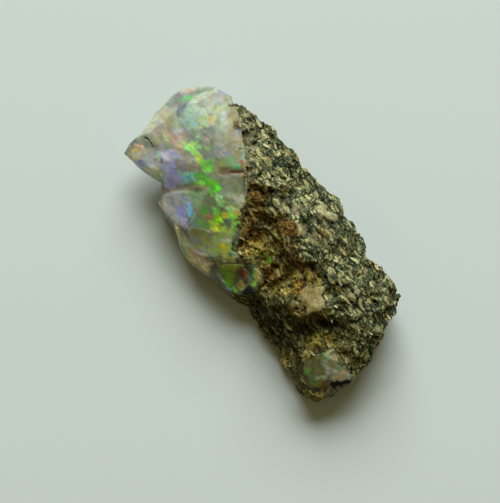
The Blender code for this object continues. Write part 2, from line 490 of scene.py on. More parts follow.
@dataclass(frozen=True)
class GrainField:
    """Grains of the broken rock, each a small tilted face a little higher or lower than the next.

    Attributes:
        length: grain length along the stone, in millimetres.
        width: grain width across it.
        step: how far a grain stands out or lies back.
        tilt: the most that a grain's face leans.
        seed: keeps the grains where they are from run to run.
    """

    length: float = 1.15
    width: float = 0.62
    step: float = 0.10
    tilt: float = 0.34
    seed: int = 21

    def heights(self, places: Array) -> Array:
        """Find the height of the grain at each place.

        Args:
            places: points in millimetres, one a row.

        Returns:
            How far each point moves out, in millimetres.
        """
        stretch = np.array([1 / self.length, 1 / self.width, 1 / self.width])
        cells = places * stretch
        rng = np.random.default_rng(self.seed)
        centres = strewn(cells, rng)
        lift = rng.uniform(-1, 1, len(centres))
        lean = rng.uniform(-1, 1, centres.shape)
        own = nearest_of(centres, cells)
        offset = (cells - centres[own]) / stretch
        return self.step * lift[own] + self.tilt * (offset * lean[own]).sum(axis=1)


@dataclass(frozen=True)
class Skin:
    """Fine, even skin over one solid of the frame, ready to take relief and colour.

    Attributes:
        mineral: the solid that it is grown over.
        name: the piece's name.
        spacing: width of the skin's faces, in millimetres.
        rubbed: how many rounds of smoothing take its creases down.
        rub: how far each round does.
        weld: how near two corners of the solid are made one, in millimetres.
    """

    mineral: Mineral
    name: str
    spacing: float
    rubbed: int = 0
    rub: float = 0.5
    weld: float = 0.0005

    def grow(self) -> Object:
        """Make the skin from a merged copy of the node's mesh.

        Returns:
            The skin, a plain mesh.
        """
        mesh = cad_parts[self.mineral.value].data.copy()
        work = bmesh.new()
        work.from_mesh(mesh)
        bmesh.ops.remove_doubles(work, verts=work.verts, dist=self.weld * MM)
        work.to_mesh(mesh)
        work.free()
        piece = add_piece(self.name, mesh)
        remesh = piece.modifiers.new("fine_skin", "REMESH")
        remesh.mode = "VOXEL"
        remesh.voxel_size = self.spacing * MM
        smooth = piece.modifiers.new("rubbed", "SMOOTH")
        smooth.factor = self.rub
        smooth.iterations = self.rubbed
        piece.data = settled_mesh(piece)
        piece.data.materials.clear()
        piece.data.shade_smooth()
        return piece


@dataclass(frozen=True)
class SpeckledRock:
    """Porphyritic volcanic rock, broken: dark slate groundmass crowded with pale feldspar.

    It gives the eye a salt-and-pepper speckle with no gloss, laths lying mostly along the stone,
    rust-stained zones, and pits, grooves and recesses darkened nearly black with painted shade.
    """

    lath_length: float = 1.45
    lath_width: float = 0.41
    grain: float = 0.18
    stain_grain: float = 0.22
    grit: float = 0.16
    black: str = "#181B13"
    slate: str = "#3B4738"
    moss: str = "#687146"
    cream: str = "#CACC92"
    khaki: str = "#7E7D4C"
    tan: str = "#7A5A26"
    chalk: str = "#A39C7A"
    rust: str = "#60440F"
    ochre: str = "#8E7A2A"
    # painted shade: the near black that recesses, the shaded flank, pits and grooves are darkened to
    pit: str = "#0E0D07"

    def material(self) -> Material:
        """Build the finish.

        Returns:
            The material.
        """
        material, add = new_material("speckled_volcanic_rock")
        place = add("TexCoord", out="Object")
        zones = add("Attribute", attribute_name="zones").node.outputs
        stains_and_shade = add("SeparateColor", (zones["Color"],)).node.outputs
        clean, lath_cover = self.face(add, place)
        crystals = add("Attribute", attribute_name="crystals").node.outputs
        cloudy = add("TexNoise", (place, 0.0, 1 / (0.45 * MM), 5.0, 0.75))
        shade = add("MapRange", (cloudy, 0.36, 0.62, 0.42, 0.96))
        crystal = add("VectorMath", {0: crystals["Color"], 3: shade}, operation="SCALE")
        colour = add("Mix", {0: crystals["Alpha"], 6: clean, 7: crystal}, **IN_COLOUR)
        for zone, hue, wash, hold in (
            (zones["Alpha"], self.chalk, "#FFFFFF", 0.7),
            (stains_and_shade["Green"], self.ochre, "#EADC88", 0.44),
            (stains_and_shade["Red"], self.rust, "#D6B060", 0.60),
        ):
            colour = self.stain(add, place, colour, zone, hue, wash, hold)
        # Painted shade: the third zone darkens the rock towards pit in recesses, on the shaded flank and in
        # pits and grooves.
        dark = add("Mix", {0: stains_and_shade["Blue"], 6: colour, 7: rgba(self.pit)}, **IN_COLOUR)
        shader = add("BsdfPrincipled", {
            "Base Color": dark, "Roughness": 0.80, "IOR": 1.52, "Specular IOR Level": 0.10,
            "Normal": self.relief(add, place, lath_cover),
        })
        add("OutputMaterial", (shader,))
        return material

    def face(self, add: Adder, place: Socket) -> tuple[Socket, Socket]:
        """Build the clean rock's colour.

        Args:
            add: adds a node to the tree.
            place: the Object coordinates.

        Returns:
            The colour, and how much of a lath there is at each place.
        """
        grains = self.grains(add, place)
        laths, lath_cover = self.laths(add, place)
        return add("Mix", {0: lath_cover, 6: grains, 7: laths}, **IN_COLOUR), lath_cover

    def grains(self, add: Adder, place: Socket) -> Socket:
        """Build the slate to moss-grey groundmass and the pale and black grains in it.

        Args:
            add: adds a node to the tree.
            place: the Object coordinates.

        Returns:
            The speckled colour.
        """
        ground = add("ValToRGB", (add("TexNoise", (place, 0.0, 1 / (0.6 * MM), 6.0, 0.85)),))
        set_stops(ground.node.color_ramp, (0.38, self.black), (0.47, self.slate), (0.64, self.moss))
        drawn = add("VectorMath", (place, (0.55, 1.15, 1.15)), operation="MULTIPLY")
        cells = add("TexVoronoi", (drawn, 0.0, 1 / (self.grain * MM))).node.outputs
        chosen = add("SeparateColor", (cells["Color"],)).node.outputs
        core = add("MapRange", (cells["Distance"], 0.60, 0.30))
        pale = add("MapRange", (chosen["Red"], 0.64, 0.78, 0.0, 0.75))
        dark = add("MapRange", (chosen["Red"], 0.22, 0.14, 0.0, 0.85))
        share = add("Math", (pale, core), operation="MULTIPLY")
        tint = add("Mix", {0: chosen["Green"], 6: rgba(self.khaki), 7: rgba(self.cream)}, **IN_COLOUR)
        specked = add("Mix", {0: share, 6: ground, 7: tint}, **IN_COLOUR)
        return add("Mix", {0: dark, 6: specked, 7: rgba(self.black)}, **IN_COLOUR)

    def laths(self, add: Adder, place: Socket) -> tuple[Socket, Socket]:
        """Build the feldspar laths, as stretched cells that some of the grains fill.

        Args:
            add: adds a node to the tree.
            place: the Object coordinates.

        Returns:
            The laths' colour, and how much of a lath there is at each place.
        """
        bend = add("TexNoise", (place, 0.0, 1 / MM, 3.0, 0.65), 1)
        swing = add("VectorMath", (bend, (0.5, 0.5, 0.5)), operation="SUBTRACT")
        pushed = add("VectorMath", (swing, (1.2 * MM,) * 3, place), operation="MULTIPLY_ADD")
        along, across = 1 / (self.lath_length * MM), 1 / (self.lath_width * MM)
        stretched = add("VectorMath", (pushed, (along, across, across)), operation="MULTIPLY")
        cells = add("TexVoronoi", (stretched, 0.0, 1.0)).node.outputs
        chosen = add("SeparateColor", (cells["Color"],)).node.outputs
        is_lath = add("MapRange", (chosen["Red"], 0.58, 0.65))
        inside = add("MapRange", (cells["Distance"], 0.54, 0.45))
        cover = add("Math", (is_lath, inside), operation="MULTIPLY")
        worn = add("Math", (chosen["Green"], 0.8), operation="POWER")
        pale = add("Mix", {0: worn, 6: rgba(self.khaki), 7: rgba(self.cream)}, **IN_COLOUR)
        rusty = add("MapRange", (chosen["Blue"], 0.78, 0.92, 0.0, 0.6))
        return add("Mix", {0: rusty, 6: pale, 7: rgba(self.tan)}, **IN_COLOUR), cover

    def stain(
        self, add: Adder, place: Socket, under: Socket, zone: Socket, hue: str, wash: str, hold: float,
    ) -> Socket:
        """Build a stain that soaks some grains more than others.

        Args:
            add: adds a node to the tree.
            place: the Object coordinates.
            under: colour of the rock.
            zone: how stained each place is.
            hue: the stain's colour.
            wash: what it multiplies the rock's colour by.
            hold: the most of the rock's own colour that the stain covers.

        Returns:
            The stained colour.
        """
        soak = add("TexNoise", (place, 0.0, 1 / (0.35 * MM), 5.0, 0.85))
        uneven = add("MapRange", (soak, 0.40, 0.58, 0.15, 1.45))
        amount = add("Math", (zone, uneven), operation="MULTIPLY")
        soaked, covered = (
            add("Math", (amount, most), operation="MULTIPLY", use_clamp=True) for most in (1.0, hold)
        )
        washed = add("VectorMath", (under, tuple(linear(wash))), operation="MULTIPLY")
        tinted = add("Mix", {0: soaked, 6: under, 7: washed}, **IN_COLOUR)
        flecks = add("TexVoronoi", (place, 0.0, 1 / (self.stain_grain * MM)), 1)
        rare = add("Math", (add("SeparateColor", (flecks,)), 1.8), operation="POWER")
        depth = add("MapRange", (rare, 0.0, 1.0, 0.06, 3.9))
        fleck = add("VectorMath", {0: tuple(linear(hue)), 3: depth}, operation="SCALE")
        return add("Mix", {0: covered, 6: tinted, 7: fleck}, **IN_COLOUR)

    def relief(self, add: Adder, place: Socket, lath_cover: Socket) -> Socket:
        """Build the grit between the laths, with each lath a little proud.

        Args:
            add: adds a node to the tree.
            place: the Object coordinates.
            lath_cover: how much of a lath there is.

        Returns:
            The bent normal.
        """
        grit = add("TexNoise", (place, 0.0, 1 / (self.grit * MM), 3.0, 0.7))
        height = add("Math", (lath_cover, 0.8, grit), operation="MULTIPLY_ADD")
        return add("Bump", {"Height": height, "Strength": 0.7, "Distance": 0.12 * MM})


@dataclass(frozen=True)
class Feldspar:
    """Weathered feldspar crystal, cleaved: cream to straw, with a faint silky gloss on its faces."""

    cream: str = "#BCB886"
    straw: str = "#8A8552"
    core: str = "#5C5632"
    rust: str = "#6A4210"
    ochre: str = "#8A7226"
    # painted shade: the near black that laths in the darkened places take
    pit: str = "#15140C"
    grain: float = 0.25

    def material(self) -> Material:
        """Build the finish.

        Returns:
            The material.
        """
        material, add = new_material("weathered_feldspar")
        tint = add("Attribute", out="Fac", attribute_name="tint")
        place = add("TexCoord", out="Object")
        cloudy = add("TexNoise", (place, 0.0, 1 / (self.grain * MM), 4.0, 0.7))
        colour = add("ValToRGB", (add("Math", (cloudy, 0.9, tint), operation="MULTIPLY_ADD"),))
        set_stops(colour.node.color_ramp, (0.30, self.core), (0.6, self.straw), (1.0, self.cream))
        zones = add("SeparateColor", (add("Attribute", attribute_name="zones"),)).node.outputs
        # Rust and ochre are stains; the third zone is painted shade.
        for zone, hue, hold in (
            ("Red", self.rust, 0.75), ("Green", self.ochre, 0.55), ("Blue", self.pit, 0.9),
        ):
            amount = add("Math", (zones[zone], hold), operation="MULTIPLY")
            colour = add("Mix", {0: amount, 6: colour, 7: rgba(hue)}, **IN_COLOUR)
        shader = add("BsdfPrincipled", {
            "Base Color": colour, "Roughness": 0.6, "IOR": 1.53, "Specular IOR Level": 0.20,
            "Normal": add("Bump", {"Height": cloudy, "Strength": 0.5, "Distance": 0.06 * MM}),
        })
        add("OutputMaterial", (shader,))
        return material


@dataclass(frozen=True)
class PreciousOpal:
    """Precious opal, broken: milky, waxy and a little see-through, with play of colour inside.

    The body and its flashes come from the skin's own colours. The light sinks in a little over
    half a millimetre, the breaks are smooth but not polished, and fine streaks run through the
    flashes.
    """

    name: str = "precious_opal"
    glow: float = 0.45
    sink: float = 0.6
    see_through: float = 0.06
    roughness: float = 0.34
    dull: float = 0.8
    gloss: float = 0.4

    def material(self) -> Material:
        """Build the finish.

        Returns:
            The material.
        """
        material, add = new_material(self.name)
        place = add("TexCoord", out="Object")
        body = add("Attribute", attribute_name="body")
        fire = add("Attribute", attribute_name="fire").node.outputs
        crust = add("Attribute", attribute_name="crust").node.outputs
        streaked = (fire["Alpha"], self.streaks(add, place))
        strength = add("Math", streaked, operation="MULTIPLY", use_clamp=True)
        veil = add("TexNoise", (place, 0.0, 1 / (0.7 * MM), 8.0, 0.78))
        veiled = add("MapRange", (veil, 0.35, 0.65, 0.78, 1.18))
        milky = add("VectorMath", {0: body, 3: veiled}, operation="SCALE")
        opal = add("Mix", {0: strength, 6: milky, 7: fire["Color"]}, **IN_COLOUR)
        rock = SpeckledRock()
        speckle, lath_cover = rock.face(add, place)
        # The clinging rock's colour; near black where a recess or notch is painted shade.
        film_and_shade = add("VectorMath", (speckle, crust["Color"]), operation="MULTIPLY")
        ripple = add("TexNoise", (place, 0.0, 1 / (0.5 * MM), 4.0, 0.55))
        bump = add("Bump", {"Height": ripple, "Strength": 0.35, "Distance": 0.10 * MM})
        grit = rock.relief(add, place, lath_cover)
        shader = add("BsdfPrincipled", {
            "Base Color": add("Mix", {0: crust["Alpha"], 6: opal, 7: film_and_shade}, **IN_COLOUR),
            "Roughness": add("MapRange", (crust["Alpha"], 0.0, 1.0, self.roughness, self.dull)),
            "Subsurface Weight": add("MapRange", (crust["Alpha"], 0.0, 1.0, self.glow, 0.0)),
            "Subsurface Radius": (1.0, 0.95, 0.8), "Subsurface Scale": self.sink * MM, "IOR": 1.45,
            "Specular IOR Level": self.gloss, "Transmission Weight": self.see_through,
            "Normal": add("Mix", {0: crust["Alpha"], 4: bump, 5: grit}, 1, data_type="VECTOR"),
        })
        add("OutputMaterial", (shader,))
        return material

    def streaks(self, add: Adder, place: Socket) -> Socket:
        """Build the streaks, about 0.15 by 0.6 mm, that break up each flash.

        Args:
            add: adds a node to the tree.
            place: the Object coordinates.

        Returns:
            What a flash's strength is multiplied by.
        """
        combed = add("Mapping", {
            "Vector": place, "Rotation": (0.2, 0.1, math.radians(-35)),
            "Scale": (1 / (0.7 * MM), 1 / (0.16 * MM), 1 / (0.3 * MM)),
        })
        lines = add("TexNoise", (combed, 0.0, 1.0, 3.0, 0.6))
        return add("MapRange", (lines, 0.35, 0.62, 0.68, 1.2))


@dataclass(frozen=True)
class HostRock:
    """The speckled rock: a skin with lumps, grains and pits, drawn in against both opals.

    Attributes:
        crystals: large feldspar crystals that lie flush in the break.
        rust: areas stained red-brown.
        ochre: areas stained yellow-brown.
        shade: recesses and the flank turned from the light, darkened with painted shade.
        pale: areas dusted with pale clay.
        skin: the fine skin and the solid that it covers.
        grains: the small tilted faces of its break.
        seam_reach: how near to an opal the rock is drawn up to it, in millimetres.
        bite: how far it then runs into the opal's skin.
        lump: height of its lumps, in millimetres.
        pit: depth of its pits.
        proud: how far a crystal stands out.
        groove: how deep the line round a crystal is.
        hollow: how deep the recesses are.
        inset: how far all of it lies back from the solid's face.
        flank_inset: how much farther its sides do.
        rims: where the far rim is drawn in, each along its own turn and by its strength.
    """

    crystals: tuple[Patch, ...]
    rust: tuple[Patch, ...]
    ochre: tuple[Patch, ...]
    shade: tuple[Patch, ...]
    pale: tuple[Patch, ...]
    skin: Skin = Skin(Mineral.ROCK, "broken_rock", 0.14)
    grains: GrainField = GrainField()
    seam_reach: float = 0.75
    bite: float = 0.05
    lump: float = 0.22
    pit: float = 0.30
    proud: float = 0.05
    groove: float = 0.07
    hollow: float = 0.22
    inset: float = 0.05
    flank_inset: float = 0.12
    rims: tuple[Spot, ...] = (
        Spot("far_rim", (-5.9, 8.4), (2.8, 3.2), 90.0, strength=0.85),
        Spot("far_notch", (8.6, 8.7), (2.6, 2.0), 90.0, strength=0.75),
        Spot("far_corner", (14.6, 8.7), (2.4, 3.4), 40.0, strength=0.55),
    )

    def build(self, opals: list[Mesh]) -> Object:
        """Grow the rock's skin and give it its relief and stains.

        Args:
            opals: the finished meshes of the opals, which the rock closes up against.

        Returns:
            The rock.
        """
        piece = self.skin.grow()
        mesh = piece.data
        places, normals = places_of(mesh), of_vertices(mesh, "normal")
        crystal, hues = self.crystal_cover(places, normals)
        hollow = self.depth(self.shade, wander(places, 0.3, 0.8, 9.9), normals, 0.5)
        lumps = self.lump * cloud(places, 1.9, 3.7, 4)
        pits = -self.pit * smoothstep(0.28, 0.60, cloud(places, 0.6, 11.3, 2)) * (1 - crystal)
        seam = 4 * crystal * (1 - crystal)
        rough = (lumps + self.grains.heights(wander(places, 0.22, 0.9, 1.3))) * (1 - 0.8 * crystal) + pits
        flank = 1 - smoothstep(0.2, 0.8, np.abs(normals[:, 2]))
        relief = rough + self.proud * crystal - self.groove * seam - self.hollow * hollow
        relief = relief - self.inset - self.flank_inset * flank
        relief *= smoothstep(0.05, 0.5, places[:, 2])
        relief = np.where(relief > 0, relief * smoothstep(-0.1, 0.75, np.abs(normals[:, 2])), relief)
        moved = places + normals * relief[:, None]
        for rim in self.rims:
            way = math.radians(rim.turn)
            moved[:, :2] -= rim.cover(places, 6.0, 0.6)[:, None] * (math.cos(way), math.sin(way))
        for opal in opals:
            moved = self.close_seam(moved, tree_over(opal))
        place_vertices(mesh, moved)
        store_colour(mesh, "crystals", np.column_stack([hues, crystal]))
        # Painted shade: the pits and the grooves round the crystals are darkened.
        self.stain(mesh, moved, normals, np.clip(-pits * 2.2, 0, 0.7) + 0.55 * seam)
        dress(piece, SpeckledRock().material())
        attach(piece, "root")
        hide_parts(Mineral.ROCK.value)
        return piece

    def crystal_cover(self, places: Array, normals: Array) -> tuple[Array, Array]:
        """Find where the large crystals lie.

        Args:
            places: the rock's vertices.
            normals: its normals.

        Returns:
            How much of one lies on each vertex, from 0 to 1, and its linear colour.
        """
        loose = wander(places, 0.15, 0.5, 4.4)
        facing = smoothstep(0.0, 0.3, normals[:, 2])
        cover, hues = np.zeros(len(places)), np.zeros(places.shape)
        for crystal in self.crystals:
            own = crystal.cover(loose, 0.08) * facing
            hues = np.where((own > cover)[:, None], linear(crystal.hue), hues)
            cover = np.maximum(cover, own)
        return cover, hues

    @staticmethod
    def depth(areas: tuple[Patch, ...], places: Array, normals: Array, softness: float) -> Array:
        """The most that any of the areas covers each place, on the upper side only."""
        facing = smoothstep(-0.3, 0.1, normals[:, 2])
        return np.max([area.cover(places, softness) for area in areas], axis=0) * facing

    def close_seam(self, places: Array, opal: BVHTree) -> Array:
        """Draw the rock that faces an opal up to it, and a little into it.

        Args:
            places: the rock's vertices.
            opal: search tree over the opal.

        Returns:
            The moved vertices.
        """
        moved = places.copy()
        for index, place in enumerate(places):
            found, _, _, gap = opal.find_nearest(Vector(place), self.seam_reach)
            if found is None or gap < TINY:
                continue
            pull = min(1.0, 2.2 * (1 - gap / self.seam_reach))
            moved[index] = place + (np.array(found) - place) / gap * pull * (gap + self.bite)
        return moved

    def stain(self, mesh: Mesh, places: Array, normals: Array, cavity_shade: Array) -> None:
        """Store how rusty, ochre, darkened with painted shade and pale each place is.

        Args:
            mesh: the rock's mesh.
            places: its vertices.
            normals: its normals.
            cavity_shade: painted shade, how dark the pits and crystal edges are made.
        """
        loose = wander(places, 0.45, 1.1, 2.2)
        rust, ochre, shade, pale = (
            self.depth(areas, loose, normals, softness)
            for areas, softness in (
                (self.rust, 0.45), (self.ochre, 0.6), (self.shade, 0.45), (self.pale, 0.35),
            )
        )
        veins = smoothstep(0.25, 0.6, cloud(places, 2.2, 8.8, 4))
        hidden = smoothstep(0.2, -0.2, normals[:, 2])
        browner = 0.45 * smoothstep(2.6, -2.4, places[:, 1]) + 0.25 * hidden
        store_colour(mesh, "zones", np.column_stack([
            np.maximum(rust, veins * (0.35 + 0.35 * hidden)),
            np.maximum(ochre, browner * (0.7 + 0.6 * cloud(places, 1.6, 5.1))),
            # The third value is painted shade: the shaded areas, the pits and the crystal grooves.
            np.maximum(shade * 0.85, np.clip(cavity_shade, 0, 0.9)), pale,
        ]))


@dataclass(frozen=True)
class FeldsparLaths:
    """Loose scatter of feldspar laths that lie in the rock's broken face, a little proud of it.

    Attributes:
        density: laths on each square millimetre.
        length: the longest lath, in millimetres.
        width: the widest.
        rise: thickness of the thickest.
        swing: how far a lath turns from the stone's length, in degrees.
        seed: keeps the scatter the same each run.
    """

    density: float = 1.0
    length: float = 1.15
    width: float = 0.38
    rise: float = 0.10
    swing: float = 28.0
    seed: int = 5

    def build(self, rock: Object, feldspar: Material) -> Object:
        """Scatter the laths over the rock and make them one plain mesh.

        Args:
            rock: the finished rock.
            feldspar: the laths' finish.

        Returns:
            The laths.
        """
        piece = add_piece("feldspar_laths", rock.data.copy())
        modifier = piece.modifiers.new("laths", "NODES")
        modifier.node_group = self.tree()
        values = {
            "Density": self.density / MM ** 2, "Length": self.length * MM, "Width": self.width * MM,
            "Rise": self.rise * MM, "Swing": math.radians(self.swing), "Seed": self.seed, "Finish": feldspar,
        }
        for item in modifier.node_group.interface.items_tree:
            if item.in_out == "INPUT" and item.name in values:
                modifier[item.identifier] = values[item.name]
        piece.data = settled_mesh(piece)
        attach(piece, "root")
        return piece

    def tree(self) -> NodeTree:
        """Build the Geometry Nodes tree that scatters the laths.

        Returns:
            The tree.
        """
        tree = bpy.data.node_groups.new("lath_scatter", "GeometryNodeTree")
        kinds = {"Geometry": "Geometry", "Seed": "Int", "Finish": "Material"}
        for name in ("Geometry", "Density", "Length", "Width", "Rise", "Swing", "Seed", "Finish"):
            kind = f"NodeSocket{kinds.get(name, 'Float')}"
            tree.interface.new_socket(name, in_out="INPUT", socket_type=kind)
        tree.interface.new_socket("Geometry", in_out="OUTPUT", socket_type="NodeSocketGeometry")
        add = partial(add_node, tree)
        given = add("NodeGroupInput").node.outputs
        crystals = add("GeometryNodeInputNamedAttribute", {"Name": "crystals"}, "Attribute",
                       data_type="FLOAT_COLOR")
        cover = add("FunctionNodeSeparateColor", (crystals,), "Alpha")
        bare = add("Math", (1.0, cover), operation="SUBTRACT")
        density = add("Math", (bare, given["Density"]), operation="MULTIPLY")
        height = add("SeparateXYZ", (add("GeometryNodeInputPosition"),), "Z")
        lifted = add("MapRange", (height, 0.30 * MM, 0.45 * MM))
        points = add("GeometryNodeDistributePointsOnFaces", {
            "Mesh": given["Geometry"], "Seed": given["Seed"],
            "Density": add("Math", (density, lifted), operation="MULTIPLY"),
        }).node.outputs
        shape = {"Vertices": 7, "Radius": 0.5, "Depth": 1.0}
        lath = add("GeometryNodeMeshCylinder", shape, fill_type="NGON")
        placed = add("GeometryNodeInstanceOnPoints", {
            "Points": points["Points"], "Instance": lath, "Scale": self.sizes(add, given),
            "Rotation": self.turned(add, points["Normal"], given["Swing"]),
        })
        tint = add("FunctionNodeRandomValue", {2: 0.0, 3: 0.65, "Seed": 3}, 1, data_type="FLOAT")
        tinted = add("GeometryNodeStoreNamedAttribute", {"Geometry": placed, "Name": "tint", "Value": tint},
                     data_type="FLOAT", domain="INSTANCE")
        real = add("GeometryNodeRealizeInstances", {"Geometry": tinted})
        finished = add("GeometryNodeSetMaterial", {
            "Geometry": self.worn(add, real), "Material": given["Finish"],
        })
        add("NodeGroupOutput", (finished,))
        return tree

    def worn(self, add: Adder, laths: Socket) -> Socket:
        """Push the laths' corners about, so that no two have the same outline.

        Args:
            add: adds a node to the tree.
            laths: the laths.

        Returns:
            The pushed laths.
        """
        chips = add("TexNoise", {"Scale": 1 / (0.25 * MM), "Detail": 1.0}, 1)
        swing = add("VectorMath", (chips, (0.5, 0.5, 0.5)), operation="SUBTRACT")
        push = add("VectorMath", {0: swing, 3: 0.15 * MM}, operation="SCALE")
        return add("GeometryNodeSetPosition", {"Geometry": laths, "Offset": push})

    def turned(self, add: Adder, normal: Socket, swing: Socket) -> Socket:
        """Lay a lath on the surface, roughly along the stone.

        Args:
            add: adds a node to the tree.
            normal: the surface's normal.
            swing: the most that a lath turns.

        Returns:
            The lath's rotation.
        """
        flat = add("FunctionNodeAlignRotationToVector", {"Vector": normal}, axis="Z")
        along = add("FunctionNodeAlignRotationToVector", {"Rotation": flat, "Vector": (1.0, 0.0, 0.0)},
                    axis="X", pivot_axis="Z")
        back = add("Math", (swing, -1.0), operation="MULTIPLY")
        angle = add("FunctionNodeRandomValue", {2: back, 3: swing, "Seed": 8}, 1, data_type="FLOAT")
        spin = add("FunctionNodeAxisAngleToRotation", {"Axis": (0.0, 0.0, 1.0), "Angle": angle})
        return add("FunctionNodeRotateRotation", {"Rotation": along, "Rotate By": spin},
                   rotation_space="LOCAL")

    def sizes(self, add: Adder, given: bpy.types.NodeOutputs) -> Socket:
        """Draw each lath's size; most are far smaller than the largest.

        Args:
            add: adds a node to the tree.
            given: the tree's named inputs.

        Returns:
            The lath's size.
        """
        chance = add("FunctionNodeRandomValue", {2: 0.0, 3: 1.0, "Seed": 1}, 1, data_type="FLOAT")
        skewed = add("Math", (chance, 1.7), operation="POWER")
        parts = []
        for seed, (name, least) in enumerate((("Length", 0.38), ("Width", 0.40), ("Rise", 0.55)), 30):
            wobble = add("FunctionNodeRandomValue", {2: 0.75, 3: 1.2, "Seed": seed}, 1, data_type="FLOAT")
            grown = add("MapRange", {0: skewed, 3: least})
            part = add("Math", (grown, given[name]), operation="MULTIPLY")
            parts.append(add("Math", (part, wobble), operation="MULTIPLY"))
        return add("CombineXYZ", tuple(parts))


@dataclass(frozen=True)
class OpalPiece:
    """An opal: a skin with rippled breaks, cracks, body tints and flashes of colour.

    Attributes:
        skin: the fine skin and the solid that it covers.
        slot: the record's slot for its finish; not used.
        finish: the opal's finish.
        tints: the milky body's colours, place by place.
        facets: broken faces that show a tint of their own.
        fire: the play of colour, laid one area over another.
        creases: cracks and ridge lines.
        breaks: faces that are flat or gently rounded.
        crust: places where thin rock still clings to the opal, and recesses darkened nearly black with
            painted shade.
        mosaic: the grains that the fire is split into.
        stray: how many flashes lie on the sides and underneath.
        seed: keeps those flashes where they are.
        ripple: height of the ripples on the breaks, in millimetres.
        swell: height of the long swells under them.
        rind: how far the rock clings on past the seam.
        rind_hue: what the clinging rock's colour is multiplied by.
        rind_most: how far off the rock is looked for, in millimetres.
        drawn_in: how far its sides lie back from the solid's.
        wisp: width of the faint wisps of other tints in the body.
        stray_hues: colours of the flashes on the sides.
        veils: the wisps' colours, each with how much of it shows.
    """

    skin: Skin
    slot: Slot
    finish: PreciousOpal
    tints: tuple[Spot, ...]
    facets: tuple[Patch, ...]
    fire: tuple[Patch, ...]
    creases: tuple[Crease, ...] = ()
    breaks: tuple[BreakFace, ...] = ()
    crust: tuple[Patch, ...] = ()
    mosaic: Mosaic = Mosaic()
    stray: int = 90
    seed: int = 17
    ripple: float = 0.030
    swell: float = 0.08
    rind: float = 0.80
    rind_hue: str = "#FFE2B4"
    rind_most: float = 2.0
    drawn_in: float = 0.0
    wisp: float = 0.9
    stray_hues: tuple[str, ...] = ("#5FB44A", "#6F86C9", "#8A7FC0", "#4FA58E", "#B9B24A", "#C98A5C")
    veils: tuple[tuple[str, float], ...] = (
        ("#C8CFA6", 0.55), ("#B08F86", 0.40), ("#7FA98C", 0.50), ("#8C8CA6", 0.45), ("#5C604C", 0.45),
    )

    def build(self) -> Object:
        """Grow the opal's skin and give it its relief and colours.

        Returns:
            The opal.
        """
        piece = self.skin.grow()
        mesh = piece.data
        places, normals = places_of(mesh), of_vertices(mesh, "normal")
        for face in self.breaks:
            places = face.settle(places, normals)
        surface = tree_over(mesh)
        loose = wander(places, 0.12, 0.7, 21.0)
        up = smoothstep(0.1, 0.5, normals[:, 2])
        lines = [(crease, crease.cover(loose)) for crease in self.creases]
        relief = self.ripple * cloud(places, 0.8, 6.1) + self.swell * (cloud(places, 2.6, 3.3, 2) - 0.4)
        relief -= self.drawn_in * (1 - smoothstep(0.2, 0.8, np.abs(normals[:, 2])))
        relief -= sum((crease.depth * line for crease, line in lines), np.zeros(len(places))) * up
        place_vertices(mesh, places + normals * relief[:, None])
        crease_marks = [(crease, crease.stain * line * up) for crease, line in lines]
        self.colour(mesh, places, normals, surface, crease_marks)
        dress(piece, self.finish.material())
        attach(piece, "root")
        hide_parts(self.skin.mineral.value)
        return piece

    def colour(
        self, mesh: Mesh, places: Array, normals: Array, surface: BVHTree,
        crease_marks: list[tuple[Crease, Array]],
    ) -> None:
        """Store the body's tint and the flashes on each vertex.

        Args:
            mesh: the opal's mesh.
            places: its vertices before the fine relief.
            normals: its normals.
            surface: search tree over it.
            crease_marks: how much of each crease's hue lies on each vertex; most are stains, one is painted
                shade and one a painted highlight.
        """
        facing = smoothstep(-0.25, 0.05, normals[:, 2])
        body = self.body_tint(wander(places, 0.5, 1.0, 2.9), surface)
        edge = wander(places, 0.10, 0.5, 14.2)
        for facet in self.facets:
            mix_in(body, linear(facet.hue), 0.85 * facet.cover(edge, 0.22) * facing)
        self.veil(body, places)
        grains, glow, cast = self.mosaic.split(wander(places, 0.10, 0.6, 31.0))
        fire = np.zeros((len(places), 4))
        for spot, height in self.stray_flashes(places, normals):
            lay_over(fire, spot.hue, spot.cover(grains, height, 0.3))
        for area in self.fire:
            lay_over(fire, area.hue, area.cover(grains, 0.20) * facing)
        fire[:, 3] *= 0.66 + 0.42 * glow
        fire[:, :3] *= (0.80 + 0.42 * glow)[:, None] * cast
        for crease, share in crease_marks:
            mix_in(body, linear(crease.hue), share)
            fire[:, 3] *= 1 - share
        store_colour(mesh, "body", body)
        store_colour(mesh, "fire", fire)
        store_colour(mesh, "crust", self.clinging_rock_and_shade(places, facing))

    def clinging_rock_and_shade(self, places: Array, facing: Array) -> Array:
        """Colour and cover of the thin rock that still clings to the opal, and of the painted shade in its
        recesses.

        Args:
            places: the opal's vertices.
            facing: how far each of them faces up.

        Returns:
            What the rock's colour is multiplied by, and a fourth value for how much of it there is.
        """
        host = tree_over(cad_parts[Mineral.ROCK.value].data)
        found = [host.find_nearest(Vector(place), self.rind_most)[3] for place in places]
        gaps = np.array([self.rind_most if gap is None else gap for gap in found])
        ragged = self.rind * (0.60 + 1.6 * cloud(places, 1.1, 51.0, 5))
        film_and_shade = np.zeros((len(places), 4))
        film_and_shade[:, :3] = linear(self.rind_hue)
        film_and_shade[:, 3] = smoothstep(0.07, -0.07, gaps - ragged)
        loose = wander(places, 0.20, 0.5, 61.0)
        for area in self.crust:
            lay_over(film_and_shade, area.hue, area.cover(loose, 0.14) * facing)
        return film_and_shade

    def veil(self, body: Array, places: Array) -> None:
        """Lay faint wisps of other tints over the milky body, in place.

        Args:
            body: linear body colours, one row a vertex.
            places: the vertices.
        """
        combed = places * np.array([0.55, 1.25, 1.0])
        for number, (hue, share) in enumerate(self.veils):
            wisp = smoothstep(0.05, 0.5, cloud(combed, self.wisp, 40.0 + 7 * number, 4)) * share
            tone = linear(hue) / linear(hue).mean() * body[:, :3].mean(axis=1, keepdims=True)
            mix_in(body, tone * (0.6 + 0.4 * linear(hue).mean() / 0.32), wisp)

